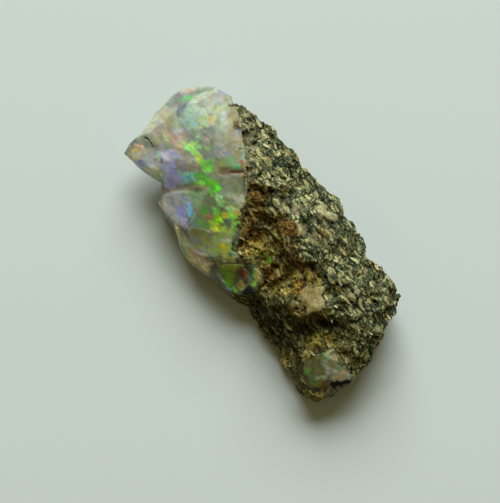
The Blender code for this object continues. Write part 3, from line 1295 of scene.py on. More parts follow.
    def body_tint(self, places: Array, surface: BVHTree) -> Array:
        """Blend the milky colour at each place from the nearest tints.

        Args:
            places: points in millimetres, one a row.
            surface: search tree over the opal.

        Returns:
            Linear colour and 1 for each point.
        """
        total = np.full(len(places), TINY)
        colour = np.zeros(places.shape)
        for tint in self.tints:
            found = surface.ray_cast(Vector((*tint.at, OVERHEAD)), DOWN)[0]
            centre = np.array([*tint.at, found.z if found else 0.0])
            gap = np.linalg.norm((places - centre) / np.array([*tint.size, 2.5]), axis=1)
            weight = tint.strength / (0.05 + gap ** 2) ** 2
            colour += weight[:, None] * linear(tint.hue)
            total += weight
        return np.column_stack([colour / total[:, None], np.ones(len(places))])

    def stray_flashes(self, places: Array, normals: Array) -> list[tuple[Spot, float]]:
        """Draw faint flashes at random places on the sides and underneath.

        Args:
            places: the opal's vertices.
            normals: its normals.

        Returns:
            The flashes, each with its height.
        """
        rng = np.random.default_rng(self.seed)
        sides = np.flatnonzero(normals[:, 2] < 0.1)
        found = []
        for index in rng.choice(sides, self.stray):
            x, y, z = places[index]
            found.append((Spot(
                "stray", (x, y), tuple(rng.uniform(0.5, 1.9, 2)), rng.uniform(0, 180),
                self.stray_hues[rng.integers(len(self.stray_hues))], rng.uniform(0.3, 0.8),
            ), z))
        return found


def rows_of(table: str) -> list[tuple[str, str, float, Points]]:
    """Read a table of areas, parted by semicolons.

    Args:
        table: each area's name, colour, strength and points, x,y in millimetres.

    Returns:
        The rows, in the table's order.
    """
    rows = []
    for row in table.split(";"):
        name, hue, strength, *points = row.split()
        places = tuple(tuple(float(value) for value in point.split(",")) for point in points)
        rows.append((name, hue, float(strength), places))
    return rows


def patches(table: str) -> tuple[Patch, ...]:
    """Areas of a table, whose points are an area's corners."""
    return tuple(Patch(name, points, hue, strength) for name, hue, strength, points in rows_of(table))


def tints(table: str) -> tuple[Spot, ...]:
    """Tints of a table, whose two points are a tint's place and its reach along X and Y."""
    return tuple(Spot(name, *points, 0.0, hue, strength) for name, hue, strength, points in rows_of(table))


# Outlines on the upper side, as seen from above: name, colour, strength and the corners, x,y in
# millimetres. A later flash of the fire lies over those before it. The corners were read off the
# photograph as pixels, and a program turned them into millimetres. A program also set the colours
# of the facets and the fire, from the photograph's mean colour inside each outline.
ROCK_CRYSTALS = patches("""
largest #B8AE7C 1 8.3,-1.9 7.9,-1.3 7.7,-0.8 7.7,-0.2 8.3,0.1 8.4,0.8 8.8,1.4 9.3,1.3 9.7,0.6 10.5,0.3
  11,-0.2 10.8,-0.8 10.6,-1.4 10.2,-1.8 9.4,-1.6 8.7,-1.8;
bird_body #CCC894 1 0.8,5.6 1,6.1 1.1,6.6 1.6,6.8 2.2,6.4 2.7,6.4 3.2,6.6 3.5,6.3 3.1,6 2.5,5.9 1.9,5.6
  1.3,5.5;
bird_wing #C6C494 1 2,6.5 2.5,6.8 3.2,7.1 3.7,6.8 3.5,6.3 2.8,6.2;
lath_pair_left #BCBA8C 0.9 2,5.3 2,5.7 3.1,5.7 3.4,5.4 3,5.2;
lath_pair_right #A8A67C 0.8 2.1,4.5 2.2,4.9 2.6,4.9 3,4.5 2.6,4.3;
upright #C4BE90 1 1.6,2.8 1.8,3.3 2.5,2.9 3,2.4 3.2,2.1 2.9,1.9 2.4,2.4;
foot #B6AE7E 0.8 2,3.2 2.6,3.6 3.2,2.9 3,2.4;
pale_middle #C6C09A 0.95 -0.6,3.5 -0.2,3.7 0.5,3.8 0.9,3.6 0.7,3.3 0,3.2;
near_seam #B4AE84 0.9 -1.3,2.1 -1.1,2.5 -0.5,2.5 -0.3,2.1 -0.8,1.9;
oval #A8A47C 0.8 -1.6,3.3 -1.4,3.6 -0.9,3.3 -1.2,3.1;
lath_right_a #B4B48C 0.85 2.8,3.8 3.1,4 4,3.8 4.3,3.4 3.6,3.5;
end_lath #C8C69C 0.9 10.8,3.9 11.3,4.4 11.8,4.3 11.6,3.8;
rim_tan #B49C62 0.9 -7.2,6.7 -6.4,7 -5.6,7.2 -5.1,7.1 -5.5,6.7 -6.2,6.5;
seam_tan #A8A078 0.85 -6.3,1.5 -5.9,1.9 -5.1,1.7 -5,1.2 -5.6,1.1;
pale_low #B0AA7C 0.85 5.2,-1.8 5.6,-1.2 6.6,-1.6 6.5,-2.3 6,-2.4;
pale_low_two #ACA874 0.8 8,-2.8 8.5,-2.1 9,-2.4 8.6,-2.9;
ridge_pale #B8B486 0.85 13.1,1.1 13.7,1.5 14.3,1.2 13.9,0.9;
slot_pale #ACA878 0.8 -2.6,0.5 -2.2,0.9 -1.8,0.6 -2.2,0.1;
opal_flake #5FB322 1 1.9,-1.75 2.2,-1.4 3,-1.5 3.35,-1.95 2.6,-2;
end_chip #DADCB4 1 14.3,-2.5 14.5,-1.8 15.1,-1.3 16.3,-1.2 16.2,-2.1 15.5,-2.8;
low_left #B2AC80 0.8 5.7,-3.8 6.7,-3.5 7.1,-3.8 6.7,-4.2
""")
ROCK_RUST = patches("""
rust_seam #5A2E08 0.95 -5.2,0.7 -4.9,1.8 -3.8,2.3 -2.7,2.1 -2,1.2 -2.8,0.1 -3.7,-0.1;
rust_middle #5A2E08 0.9 -3.4,-0.8 -2.7,0.3 -1.4,1 -0.1,2.2 1.4,2.8 2.8,2 2.4,1.1 0.8,0.6 -0.6,-0.3 -1.7,-1.1
  -2.6,-1.5;
rust_low_seam #6A4210 0.85 -1,-3.2 -2,-1.5 -0.6,-0.3 0.8,-0.5 0.6,-1.9 0,-3.1;
rust_patch_one #5A2E08 0.9 1,2.1 1.6,2.8 2.6,2.1 2.3,1.3;
rust_patch_two #5A2E08 0.85 2.5,0.2 3.5,1.3 4.8,1 3.9,-0.2;
rust_pocket #4A2206 0.9 4.7,0.5 5.7,1.2 6.7,2 7.6,1.9 6.4,0.4 5.3,-0.1;
rust_low #5A2E08 0.7 2.5,-2.4 3.4,-1.2 4.9,-1.6 4.8,-3.1 3.5,-3.6;
rust_by_large #6A3A0C 0.8 6.2,-0.8 6.7,0.2 8.2,-0.8 7.8,-1.6;
rust_right #6A3A0C 0.6 3.2,4.4 3.7,5.4 4.7,5.2 4.6,4;
rust_under_large #5A2E08 0.85 10,-2.3 10.6,-0.9 11.4,0.1 11.9,-0.2 10.5,-2.1;
rust_end #5A2E08 0.7 16.6,-4.3 17.3,-3 18.5,-3.5 17.4,-4.6;
rust_slot #6A3A0C 0.6 -5.7,0.7 -6.2,1.6 -3.6,-0.3 -4.3,-0.3
""")
ROCK_OCHRE = patches("""
ochre_seam #8A6A24 0.95 -1.1,-2.9 0.2,-0.8 2.4,0.3 3.3,-0.3 2.2,-2.2 0.8,-4.2;
ochre_mid #8A6A24 0.6 0,0.1 1.2,1.3 2.8,0.5 1.6,-0.8;
ochre_low #7A6222 0.8 2.2,-3 4.9,0.9 7.9,-1.1 6.7,-3.4 4.4,-4.5;
ochre_ridge #8A6A24 0.9 11.7,-2.9 12.4,-1.3 14,-0.5 14.6,-1.5 13.6,-3.3 12.5,-3.6;
ochre_end #7A6222 0.8 13,-4.5 13.9,-2.6 14.6,-3 16,-3.9 14.4,-5.4;
ochre_ledge #8A6A24 0.6 5.6,0.2 7.2,2 8.6,1.5 7.3,-0.4;
ochre_toe #8A7030 0.8 11.1,-6 11.8,-5.5 13.4,-6 13,-6.5
""")
ROCK_PALE = patches("""
seam_strip #A39C7A 0.3 -13.4,5.5 -11.3,5.8 -9.8,5 -8,3.8 -6,2.8 -4.4,1.5 -5.2,1 -6.6,1.5 -7.8,2.2 -9.9,3.5
  -11.3,4.2 -13.2,4.8;
low_strip #A39C7A 0.7 -1.4,-2.2 -0.4,-1.6 1.6,-3.2 2.6,-3 2,-4.2 0.2,-3.6;
flank_low #A39C7A 0.6 10.9,-6.4 12.2,-5.2 13.8,-5.3 14.4,-6 13.2,-6.9
""")
# Painted shade in recesses, a crevice, a notch and on the flank turned from the light, which is partly
# darker of itself.
ROCK_SHADE = patches("""
dark_near #15140D 0.92 3.9,-6.3 5.3,-4.7 7.8,-4.5 9.9,-3.9 11,-4.4 11,-5.3 9.3,-5.9 7.1,-6.4;
dark_seam #15140D 0.7 -2.8,1.2 -2.3,1.9 -1.2,1.2 -1.6,0.7;
dark_line #15140D 0.85 -1.3,-0.6 -1.1,0.6 0.3,2.5 0.9,2 -0.1,0.4 -0.8,-0.7;
dark_pocket #15140D 0.85 5.6,0.7 6.3,1.8 7,1.6 6.3,0.5;
dark_middle #15140D 0.6 3.3,0.2 3.9,1.1 5.6,0.2 4.7,-0.5;
dark_hollow #15140D 0.95 10.7,-1.9 12.1,-0.1 13,0.9 13.4,-0.1 12.1,-1.1 11.3,-2;
dark_hollow_low #15140D 0.85 9.7,-3.3 11.1,-1.6 12.3,-1.7 11.6,-3 12.6,-4.7 11.3,-4.7;
dark_flank #15140D 0.7 5.8,-4.6 8.8,-3.1 11,-3.2 13,-4.5 11.5,-5.5 8.7,-5.7 6.4,-5.6;
dark_notch #15140D 1 17.4,-3.5 18.4,-1.8 18.8,-2.6 18.2,-3.8;
dark_recess #15140D 0.9 3.8,-5.7 5.1,-4.7 6.7,-5.2 5.4,-5.7;
dark_end_spot #15140D 0.9 16.4,-0.6 17.1,-0.1 17.6,-0.7 17.1,-1;
crevice #15140D 0.95 10.9,-2.3 10.8,-1.4 11.6,-0.5 12.4,0.4 13.1,0.3 13.2,-0.1 12.6,-0.8 12,-1.5 11.4,-2.4;
dark_corner #15140D 0.7 13.2,-3.1 14,-2.1 14.6,-2.7 13.8,-3.7
""")
CAP_TINTS = tints("""
tip #979F93 1 -15.4,-6.4 2,2;
tip_lip #A39A78 0.8 -13.2,-8 1.6,0.8;
band_low #B4B69E 1 -17.3,-3.6 1,2;
band_high #A9AF9C 1 -17.6,0.6 1,1.6;
dome_end #AEC2AA 1 -15.8,0.2 2,2;
dome_middle #A8BC9C 1 -13.6,1.8 2,2;
dome_far #AEB08E 1 -12.6,3.8 1.4,1;
dome_grey #848B7C 1 -12.4,0.4 1.4,1.2;
dome_low #8C8F7E 1 -10.6,-0.6 1.6,1.4;
dome_seam #9C9A78 1 -9.4,2.2 1.6,1.2;
ridge_pink #B3A38D 1 -14,-3 1.4,0.8;
middle_grey #7F7F69 1 -10.6,-4.2 1.4,1;
violet_face #87897E 1 -8,-6.4 2,1.6;
olive_face #5E6E42 1 -4.6,-5.2 2,1.4;
olive_low #5D6C3E 1 -2.2,-5.4 2,1.4;
striated #7E8A5C 1 -5.6,-0.4 1.2,1;
white_zone #989C80 1 -4.2,-0.9 1.2,0.8;
near_rim #6E6348 1 -3,-8 4,0.8;
strip #70805A 0.6 0.2,-4.4 0.8,0.8;
wedge #40522A 1 1.6,-6.2 1.6,1.2;
wedge_edge #5A6448 0.6 0.6,-7 2.4,0.5
""")
# Painted light: tip_lip, a thin lip turned from the light, is almost white; violet_base, real violet, is
# lifted too.
CAP_FACETS = patches("""
dome_right #9D976D 0.8 -15.6,4.6 -14,5.6 -12.9,5.6 -11,4.9 -9.8,4 -10.4,2.6 -12.4,3.1 -14.3,3.6;
tip_tan #D4CA94 1 -16.3,-8.3 -16.2,-6.4 -14.9,-5.6 -14.5,-6.8 -15.2,-7.7;
tip_blue_grey #BFC3C8 0.9 -15.7,-6.2 -14.5,-4.8 -13.9,-4.5 -12.1,-5.9 -13.3,-6.7 -14.5,-6.9;
tip_lip #F7F7A6 0.9 -15.5,-7.8 -14.1,-7.3 -13,-6.6 -11.9,-5.9 -11.6,-6.3 -13.1,-6.8 -14.5,-7.5;
band_low #BAB294 1 -16.4,-5.2 -16.8,-4.1 -17.6,-2.8 -18.1,-1.4 -16.7,-1.3 -15.5,-2.3 -15.3,-3.6 -14.7,-4.7
  -15.5,-5.2;
band_grey #A8C2B6 0.8 -16.7,-4.7 -16.3,-3.9 -15.3,-4.2 -15.7,-5.1;
band_outer #7D8C88 1 -18.3,-1.3 -18.6,0.1 -17.9,1.7 -17.2,3.3 -16.3,3.9 -16.8,2.4 -17.2,1.2 -17.6,-0.1
  -16.7,-1;
band_dark #6C7589 0.9 -17.9,-0.2 -17.2,0.7 -16.8,1.3 -16.3,0.2 -15.7,-0.8 -15.8,-1.3;
dome_top #A5A48E 0.9 -16.6,1.7 -16.2,3.6 -14.4,4.7 -13.1,4.7 -13.3,3.5 -14.5,2.4 -15.3,1.4;
dome_cream #9A9346 1 -13.9,4.4 -13.1,4.9 -11.4,4.4 -11,4.2 -11.3,3 -12.8,3.4;
dome_seam #8F925B 0.9 -11.6,2.6 -11,4.2 -7.6,2.2 -8.4,1.5 -9.8,1.4;
violet_base #C0C1F7 0.95 -13.7,-4.7 -13.3,-3.7 -11.9,-3.3 -10.7,-3.2 -9.8,-3.9 -9.4,-4.5 -9.8,-5.6
  -10.5,-6.6 -11.5,-6.1 -12.5,-5.7;
middle_grey #A6A88E 1 -12.5,-4.2 -11.3,-2.3 -9.9,-2.2 -9.6,-3 -10.6,-4.2 -11.7,-4.8;
ledge_face #92845F 1 -10.6,-6.4 -9.7,-5.1 -7.4,-2.6 -7.1,-2.7 -8.5,-4.6 -10.3,-6.6;
left_face #9FA4A4 1 -10,-7.5 -10,-6.3 -9,-5.1 -8.1,-6.2 -5.6,-7.1 -6.5,-7.8 -8.6,-8;
right_corner #90A781 0.9 -8.8,-4.9 -7.1,-2.9 -6.6,-3.7 -5.6,-6.5 -7.7,-5.9;
brown_edge #877A66 0.9 -5.8,-7.3 -5.9,-6.3 -6.3,-4.7 -5.9,-4.5 -5.1,-6 -5,-7.2;
shaded_face #798E52 1 -6.7,-4 -6.2,-2.9 -4.6,-3.7 -3.4,-5 -4.3,-6.5 -5.1,-7.1 -5.7,-5.3;
olive_face #A7B35F 1 -5.2,-7.3 -2,-3.3 0.3,-5.1 -0.5,-6.5 -2.1,-7 -3.5,-7.7;
near_face #DBCE96 1 -5.4,-7.7 -3.5,-7.7 -1.9,-7.1 -0.5,-6.8 -0.7,-7.7 -2.2,-8.3 -4,-8.5;
thin_rim #F7E69D 0.9 -6.6,-8 -5.6,-7.9 -3.9,-8.2 -2.1,-8.1 -0.4,-7.4 0,-7.9 -1.9,-8.6 -3.6,-9.1 -5.5,-8.7;
wedge_top #757B1F 1 -0.3,-6.5 1,-4.6 1.7,-4.8 0.7,-6.5;
wedge_side #5E5B1E 1 0.3,-6.9 1.3,-5.3 3.4,-6.4 3.2,-6.9
""")
CAP_FIRE = patches("""
lilac_upper #8C8DE1 0.55 -14,-4.5 -13.5,-4.1 -12.8,-4.6 -13.3,-4.9;
lilac_blue #7088A9 0.6 -13.4,-4.3 -12.9,-3.4 -12.2,-3.6 -12.7,-4.5;
violet_streak #A6A8F7 0.9 -12.7,-4.5 -12.2,-4.1 -11.2,-4.6 -10.6,-4.8 -11.1,-5.2 -11.8,-5;
violet_haze #B0B2F7 0.55 -12.8,-5.1 -12.4,-4.7 -11.7,-5.2 -12,-5.7;
violet_left #C6BEF7 0.8 -11.5,-6.1 -11,-5.6 -10.1,-5.9 -10.7,-6.5;
violet_strong #B2AEF7 0.95 -11,-5.9 -10.5,-4.8 -9.9,-5.4 -10.2,-6.2;
violet_right #9CB0F7 0.65 -10.9,-5 -9.9,-4.1 -9.4,-4.5 -10,-5.2;
teal #70F7F7 0.85 -10.4,-4.2 -9.7,-3.3 -9,-3.6 -9.5,-4.4 -10,-4.5;
teal_rim #A0EABE 0.8 -10.5,-4 -9.7,-3 -9.5,-3.3 -10.3,-4.2;
face_violet #8F8DD1 0.85 -7.9,-6.7 -7.7,-6.1 -6.5,-6.4 -6.7,-7.1 -7.3,-7.1;
face_violet_low #B4B2F1 0.6 -7,-7.1 -6.4,-6.5 -5.6,-6.8 -5.9,-7.4;
face_blue #69B6F7 0.9 -7.9,-5.6 -7.5,-5.2 -6.3,-5.7 -5.9,-6.3 -6.8,-6.2;
face_blue_top #85ACC2 0.8 -9,-5.6 -8.1,-5.1 -7.3,-5.4 -7.8,-5.9;
face_teal #79A66D 0.7 -8.6,-4.8 -7.5,-3.6 -6.9,-3.7 -6.7,-4.9 -7.5,-5.2;
face_straw #718E69 0.5 -7.8,-4.8 -6.9,-4.1 -6.3,-5.1 -6.8,-5.3;
tip_coral #F7C4A8 1 -16.7,-6.7 -16.1,-5.9 -15.6,-6.1 -15.9,-6.8;
tip_yellow #F7C847 0.85 -16.4,-7.2 -16,-6.7 -15.7,-6.9 -16,-7.2;
tip_green #A6B675 0.5 -15.8,-4.5 -15.3,-4 -14.9,-4.5 -15.3,-4.8;
band_green #4EAB55 1 -17.7,0.1 -17.5,0.8 -17.2,1.7 -16.8,1.5 -16.8,0.6 -17.4,0.1;
band_mauve #7D6D8C 0.7 -18.5,0.2 -17.9,0.9 -17.4,0.6 -17.9,0;
band_straw #9E9C60 0.7 -17.5,-2.5 -16.8,-1.9 -16.4,-2.3 -16.9,-2.7;
band_cream #F7E7B4 0.6 -15.4,-3.4 -14.9,-3 -14.2,-3.5 -14.5,-3.9;
dome_pink #D1BEB3 0.6 -15,-3 -14.2,-1.8 -13.3,-2.1 -13.4,-3.1 -14.3,-3.3;
dome_peach #E7CB9F 0.75 -14.2,-3.1 -13.3,-2.4 -12.6,-2.6 -13.3,-3.3;
dome_citron #D7ED9C 0.75 -13.6,-2.6 -13.2,-1.9 -12.7,-2.3 -13.1,-2.8;
dome_lilac #DCDAE8 0.5 -15.2,-2.5 -14.6,-1.5 -14,-1.6 -14.7,-2.5;
dome_mint #ABD7CA 0.6 -16.3,-0.9 -16.2,0.7 -14.8,1.8 -13.4,1.4 -13.2,-0.1 -14.1,-1.3;
dome_teal #A3D3C3 0.6 -16,-0.1 -15.2,0.3 -13.7,-0.1 -14.1,-0.7;
dome_pale #CADCAF 0.65 -15.9,0.3 -15.3,0.9 -14.7,0.4 -15.1,-0.1;
dome_straw #C9DC95 0.6 -14.4,0.5 -14.2,1.7 -12.9,0.8 -13.3,0.1;
dome_amber #CABA6F 0.85 -13.9,1.4 -13.5,2.3 -12.6,1.8 -13.1,1.1;
dome_leaf #68814E 0.65 -13.9,2.4 -13.4,2.9 -12.2,2 -12.7,1.8;
dome_lime #A0B56B 0.7 -14.7,2.5 -13.8,4.1 -13,3.7 -13.9,2.3;
dome_grey #8F9B92 0.65 -13.2,0.2 -12.2,1.5 -11.5,0.7 -12.1,-0.3;
dome_mauve #C7C0A4 0.6 -12.4,-0.3 -11.7,0.3 -11.3,-0.2 -11.8,-0.6;
dome_lilac_low #ACB0AE 0.6 -11.4,0.8 -10.3,1.5 -9,0.6 -9.7,-0.5 -10.5,-0.2;
dome_blue #929EB4 0.7 -9.7,0.5 -8.9,1.1 -8.7,0.8 -9,0.2;
leaf_upper #B6EDB6 0.7 -13.4,-0.8 -12.8,-0.3 -12.3,-0.5 -12.7,-1;
leaf_middle #9AE687 0.75 -12.8,-1.5 -12.1,-0.8 -11.3,-1 -11.9,-1.7;
leaf_right #95D871 0.55 -11.7,-0.5 -10.9,0 -10.4,-0.4 -11,-0.8;
ridge_lime #ABF282 1 -12.9,-2.4 -12.7,-1.7 -12,-1.4 -11.5,-1.6 -11.8,-2.3 -12.4,-2.6;
ridge_lime_two #B5F769 0.95 -11.8,-1.9 -11.2,-1.5 -10.6,-1.6 -11,-2 -11.6,-2.2;
ridge_lemon #C3D74C 0.95 -11.2,-2 -10.8,-1.5 -10.2,-1.5 -10,-2 -10.7,-2.2;
green_heart #7AD849 1 -10.5,-2 -10,-1.4 -9.7,-0.6 -8.9,-0.9 -8.5,-1.7 -9,-2.2 -9.8,-2.1;
heart_shade #32A75F 0.7 -9.9,-1.4 -9.6,-1 -9.2,-1.3 -9.4,-1.6;
green_ledge #3DAD22 0.85 -9.8,-3.2 -9.1,-2.5 -8.2,-1.9 -8,-2.3 -8.6,-3.1 -9.4,-3.5;
green_under #76E048 0.8 -9.2,-4.1 -8.3,-2.8 -7.7,-2.6 -7.8,-3.1 -8.9,-4.3;
green_core #58BE0D 1 -8.5,-2.5 -7.8,-2 -7.3,-1.4 -6.5,-1.7 -6.2,-2.5 -7,-2.7 -7.8,-2.9;
green_bright #61F023 1 -7.2,-2.1 -6.8,-1.6 -6.1,-2 -6.5,-2.4;
green_left #71CE21 0.85 -7.3,-3 -6.8,-2.5 -6.3,-2.8 -6.4,-3.2;
green_below #ADF7A2 0.9 -6.2,-2.7 -5.7,-2.1 -4.8,-2.1 -4.7,-2.8 -5.3,-3.1;
green_right #D8F7B1 0.7 -5.4,-2.2 -4.7,-1.6 -4,-1.9 -4.4,-2.5;
mint_spot #A0F792 0.85 -4.5,-2.4 -4.2,-1.8 -3.6,-2 -3.9,-2.6;
green_low #8BEF5E 0.85 -5.4,-3.6 -4.7,-3.1 -4.2,-3.6 -4.7,-4;
green_low_bright #92DF0D 1 -4.5,-3.9 -4,-3.3 -3.4,-3.6 -3.7,-4.3;
lime_middle #7BF754 0.95 -3.9,-2.7 -3.4,-2.1 -2.8,-2.4 -3.3,-3;
lime_seam #7BF70D 1 -3.4,-2.1 -3.1,-1.6 -2.4,-1.9 -2.8,-2.4;
amber_upper #B8BD32 0.95 -4.4,-3.3 -4,-2.5 -3.4,-2.6 -3.7,-3.4;
lime_left #98D933 0.95 -4.4,-4.8 -4.1,-4.2 -3.2,-4.5 -3.5,-5;
amber_lower #CBD00D 0.95 -4,-4.5 -3.4,-4 -2.8,-4.4 -3.2,-4.9;
lime_lower #88BA0D 0.85 -3.2,-4.2 -3,-3.6 -2.3,-3.9 -2.4,-4.6;
amber_right #C8A53E 0.8 -3.9,-2 -3.4,-1.3 -2.9,-1.8 -3.4,-2.3;
tan_right #E2DC9C 0.7 -4.4,-1.9 -3.7,-1 -3.2,-1.3 -3.9,-2.1;
shaded_green #40A41D 0.85 -6.2,-4.7 -5.7,-4.1 -5.1,-4.4 -5.3,-5;
shaded_brown #9F7A5A 0.8 -5.3,-4.9 -4.9,-3.9 -4.2,-4.1 -4.6,-5.1;
shaded_teal #619570 0.65 -6.3,-5.9 -5.7,-5.1 -4.8,-5.5 -5.1,-6.6;
shaded_low #5D9145 0.7 -5.3,-5.7 -4.6,-5 -3.7,-5.2 -4.1,-6.1;
shaded_blue #5D98A1 0.6 -5.6,-6.3 -5.1,-5.9 -4.5,-6.2 -5,-6.6;
shaded_violet #9D94B3 0.7 -6,-7.2 -5.5,-6.6 -4.9,-6.9 -5.3,-7.5;
dark_right #8BC43B 0.75 -3.1,-2.8 -2.5,-1.9 -1.7,-2.5 -2.1,-3.3;
olive_rose #6C6740 0.7 -3.6,-5.6 -2.8,-4.4 -2.3,-4.6 -3,-5.7;
olive_leaf #6E8D22 0.7 -2.9,-5.5 -2.3,-4.3 -1.9,-4.3 -2.3,-5.7;
olive_blue #848FA0 0.7 -4.4,-7.5 -3.7,-6.5 -3,-6.8 -3.4,-7.7;
orange_spot #B59647 0.8 -2.6,-3.7 -2.2,-3.3 -1.6,-3.8 -1.8,-4.1;
pale_line #A7CCA2 0.8 -2,-4.8 -1.3,-3.8 -1,-4.1 -1.6,-4.8;
seam_teal #85B063 0.6 -2.3,-3.5 -1.8,-2.9 -1.3,-3.5 -1.5,-3.9;
amber_deep #B9AF2E 0.95 -1.6,-5.1 -1.3,-4.3 -0.3,-4.7 -0.4,-5.5;
orange_deep #F7F79F 0.9 -0.7,-5.5 -0.5,-4.9 0.2,-5.3 -0.1,-5.8;
amber_edge #37C51B 0.8 -1.1,-4.4 -0.9,-4.1 -0.3,-4.6 -0.5,-4.8;
amber_foot #F7F769 0.85 -0.2,-5 0.4,-4.3 0.8,-4.7 0.4,-5.3;
foot_green #F7F7F7 0.7 -0.6,-6.6 0.4,-5 0.7,-5.2 -0.2,-6.6;
lower_mid_green #79AB2B 0.6 -2,-5.8 -1.6,-5.1 -0.7,-5.6 -1.2,-6.3;
violet_speck #6771C2 0.8 -2.7,-7.4 -2.4,-7 -2.1,-7.1 -2.4,-7.5;
low_rose #EBBB9B 0.6 -3.2,-8 -2.5,-7.4 -1.9,-7.7 -2.5,-8.2;
right_green #76BE83 0.75 -9,0.5 -8.5,1.3 -7.6,0.9 -8,0.1;
right_olive #89C134 0.7 -9.2,0.1 -8.6,0.5 -8,-0.2 -8.5,-0.4;
right_teal #5CD581 0.85 -7.8,0.6 -7.3,1.4 -6.8,1.1 -7.2,0.3;
seam_red #A97030 0.9 -7.8,1.7 -7.4,2.1 -6.8,1.6 -7.1,1.3;
seam_red_low #F7F78C 0.9 -6.9,1.6 -6.5,2 -6.5,2 -6.3,1.3;
rose_groove #979B61 0.7 -9.5,-0.8 -8.7,-0.1 -7.5,-0.9 -8.1,-1.7;
pale_seam #DBEA9B 0.7 -6.6,1.3 -5.8,2 -4.8,1.5 -5.3,0.7;
strip_pale #B4F7CB 0.7 -1,-4.3 -0.7,-3.6 0.7,-4 0.3,-4.8;
grey_pale #90A88D 0.6 -6.2,-1.8 -5.3,-0.6 -4.5,-0.9 -5.4,-2.1;
white_patch #D0D7BC 0.8 -5.2,-1.8 -4.5,-0.3 -3.5,-0.4 -4.2,-1.8;
blue_seam #254424 0.8 -5.4,0.3 -6.8,2 -6,1.6 -4.8,0.1;
wedge_bevel #7D8E8D 0.9 0,-7.2 0.2,-6.9 3.7,-6.5 3.3,-6.9;
wedge_top #808B23 0.9 -0.4,-6.3 1.5,-4.1 1.9,-4.4 0.5,-6.4;
wedge_green #557E1D 0.9 0.4,-6.7 1.3,-5.4 2.8,-6.6 2.2,-7;
wedge_bright #49A00D 0.9 1.6,-6.7 1.9,-6.1 2.6,-6.6 2.2,-6.9;
wedge_lime #56BE0D 1 2.7,-6.5 3.4,-6.2 3.7,-6.5 3.5,-6.8;
wedge_brown #511C0D 0.95 1.3,-5.1 2,-4.2 2.8,-4.7 2.2,-5.5;
wedge_chip #9B9152 0.9 2.7,-5.8 2.7,-5.3 3.5,-5.1 3.6,-5.9 3.4,-6.2;
sliver_blue #252D31 0.85 2.2,-3.9 2.4,-3.5 3.3,-4.2 3.2,-4.6;
sliver_green #2FB328 0.9 2.5,-3.7 2.7,-3.3 3.5,-4 3.3,-4.2;
sliver_violet #838495 0.85 2.8,-4.6 3.1,-4.3 3.6,-4.6 3.4,-4.8;
sliver_lime #A5E138 1 3.5,-4.4 3.8,-3.9 4.2,-4.2 4,-4.6;
sliver_peach #D2C370 0.85 2.7,-3.5 3.1,-2.8 4.1,-3.5 3.6,-4.1
""")
# ledge_line is painted shade over the ledge's own grey-brown; low_highlight is a painted highlight on a
# ridge.
CAP_CREASES = (
    Crease("brown_groove", ((-7.9, -0.7), (-7.2, 0.3), (-6.5, 1.2)), 0.6, 0.1, "#7A5C38", 0.7),
    Crease("groove_floor", ((-7.3, 0.1), (-6.9, 0.6), (-6.5, 1.1)), 0.24, 0.05, "#4E2A0C", 0.8),
    Crease("ledge_line", (
        (-10.4, -6.0), (-9.6, -5.1), (-8.6, -3.9), (-7.4, -2.7),
    ), 0.28, 0.03, "#857A66", 0.55),
    Crease("tip_flaw", ((-16.35, -5.4), (-16.1, -5.25), (-15.85, -5.2)), 0.2, 0.1, "#3C2004", 0.95),
    Crease("tip_flaw_tail", ((-15.9, -5.2), (-15.4, -5.15), (-14.9, -5.25)), 0.1, 0.08, "#6A4A14", 0.9),
    Crease("face_edge", ((-6.8, -3.6), (-6.3, -5.0), (-5.7, -7.0)), 0.12, 0.04, "#4E5240", 0.5),
    Crease("low_highlight", ((-1.9, -7.05), (-1.2, -6.85), (-0.5, -6.75)), 0.11, -0.03, "#C2CCD0", 0.8),
    Crease("wedge_step", ((-0.4, -6.7), (0.5, -5.4), (1.4, -4.4)), 0.16, 0.1, "#5E6A40", 0.4),
)
CAP_BREAKS = (
    BreakFace("dome", (
        (-16.5, 0.3), (-16.7, 1.8), (-16.2, 3.6), (-14.7, 4.7), (-13.3, 5.0), (-11.2, 4.3), (-8.9, 3.2),
        (-6.5, 1.4), (-7.2, 0.2), (-9.2, -0.3), (-11.0, -0.8), (-12.8, -1.7), (-14.6, -1.5),
    ), 2, 1.2),
    BreakFace("left_face", (
        (-10.8, -8.5), (-10.3, -6.6), (-7.2, -3.1), (-5.1, -7.4), (-6.2, -8.8), (-8.6, -9.2),
    ), 1, 0.3, 0.8),
    BreakFace("violet_face", (
        (-13.4, -5.2), (-12.7, -4.0), (-10.8, -2.6), (-9.8, -3.6), (-9.4, -4.6), (-10.4, -6.6),
        (-11.8, -6.2),
    ), 2, 0.8, 0.6),
    BreakFace("shaded_face", ((-7.1, -3.1), (-6.0, -2.6), (-4.3, -3.7), (-3.3, -5.3), (-4.9, -7.1))),
    BreakFace("wedge", ((-0.1, -7.0), (-0.1, -5.9), (1.3, -3.7), (3.5, -5.0), (3.7, -6.7), (3.1, -6.9))),
)
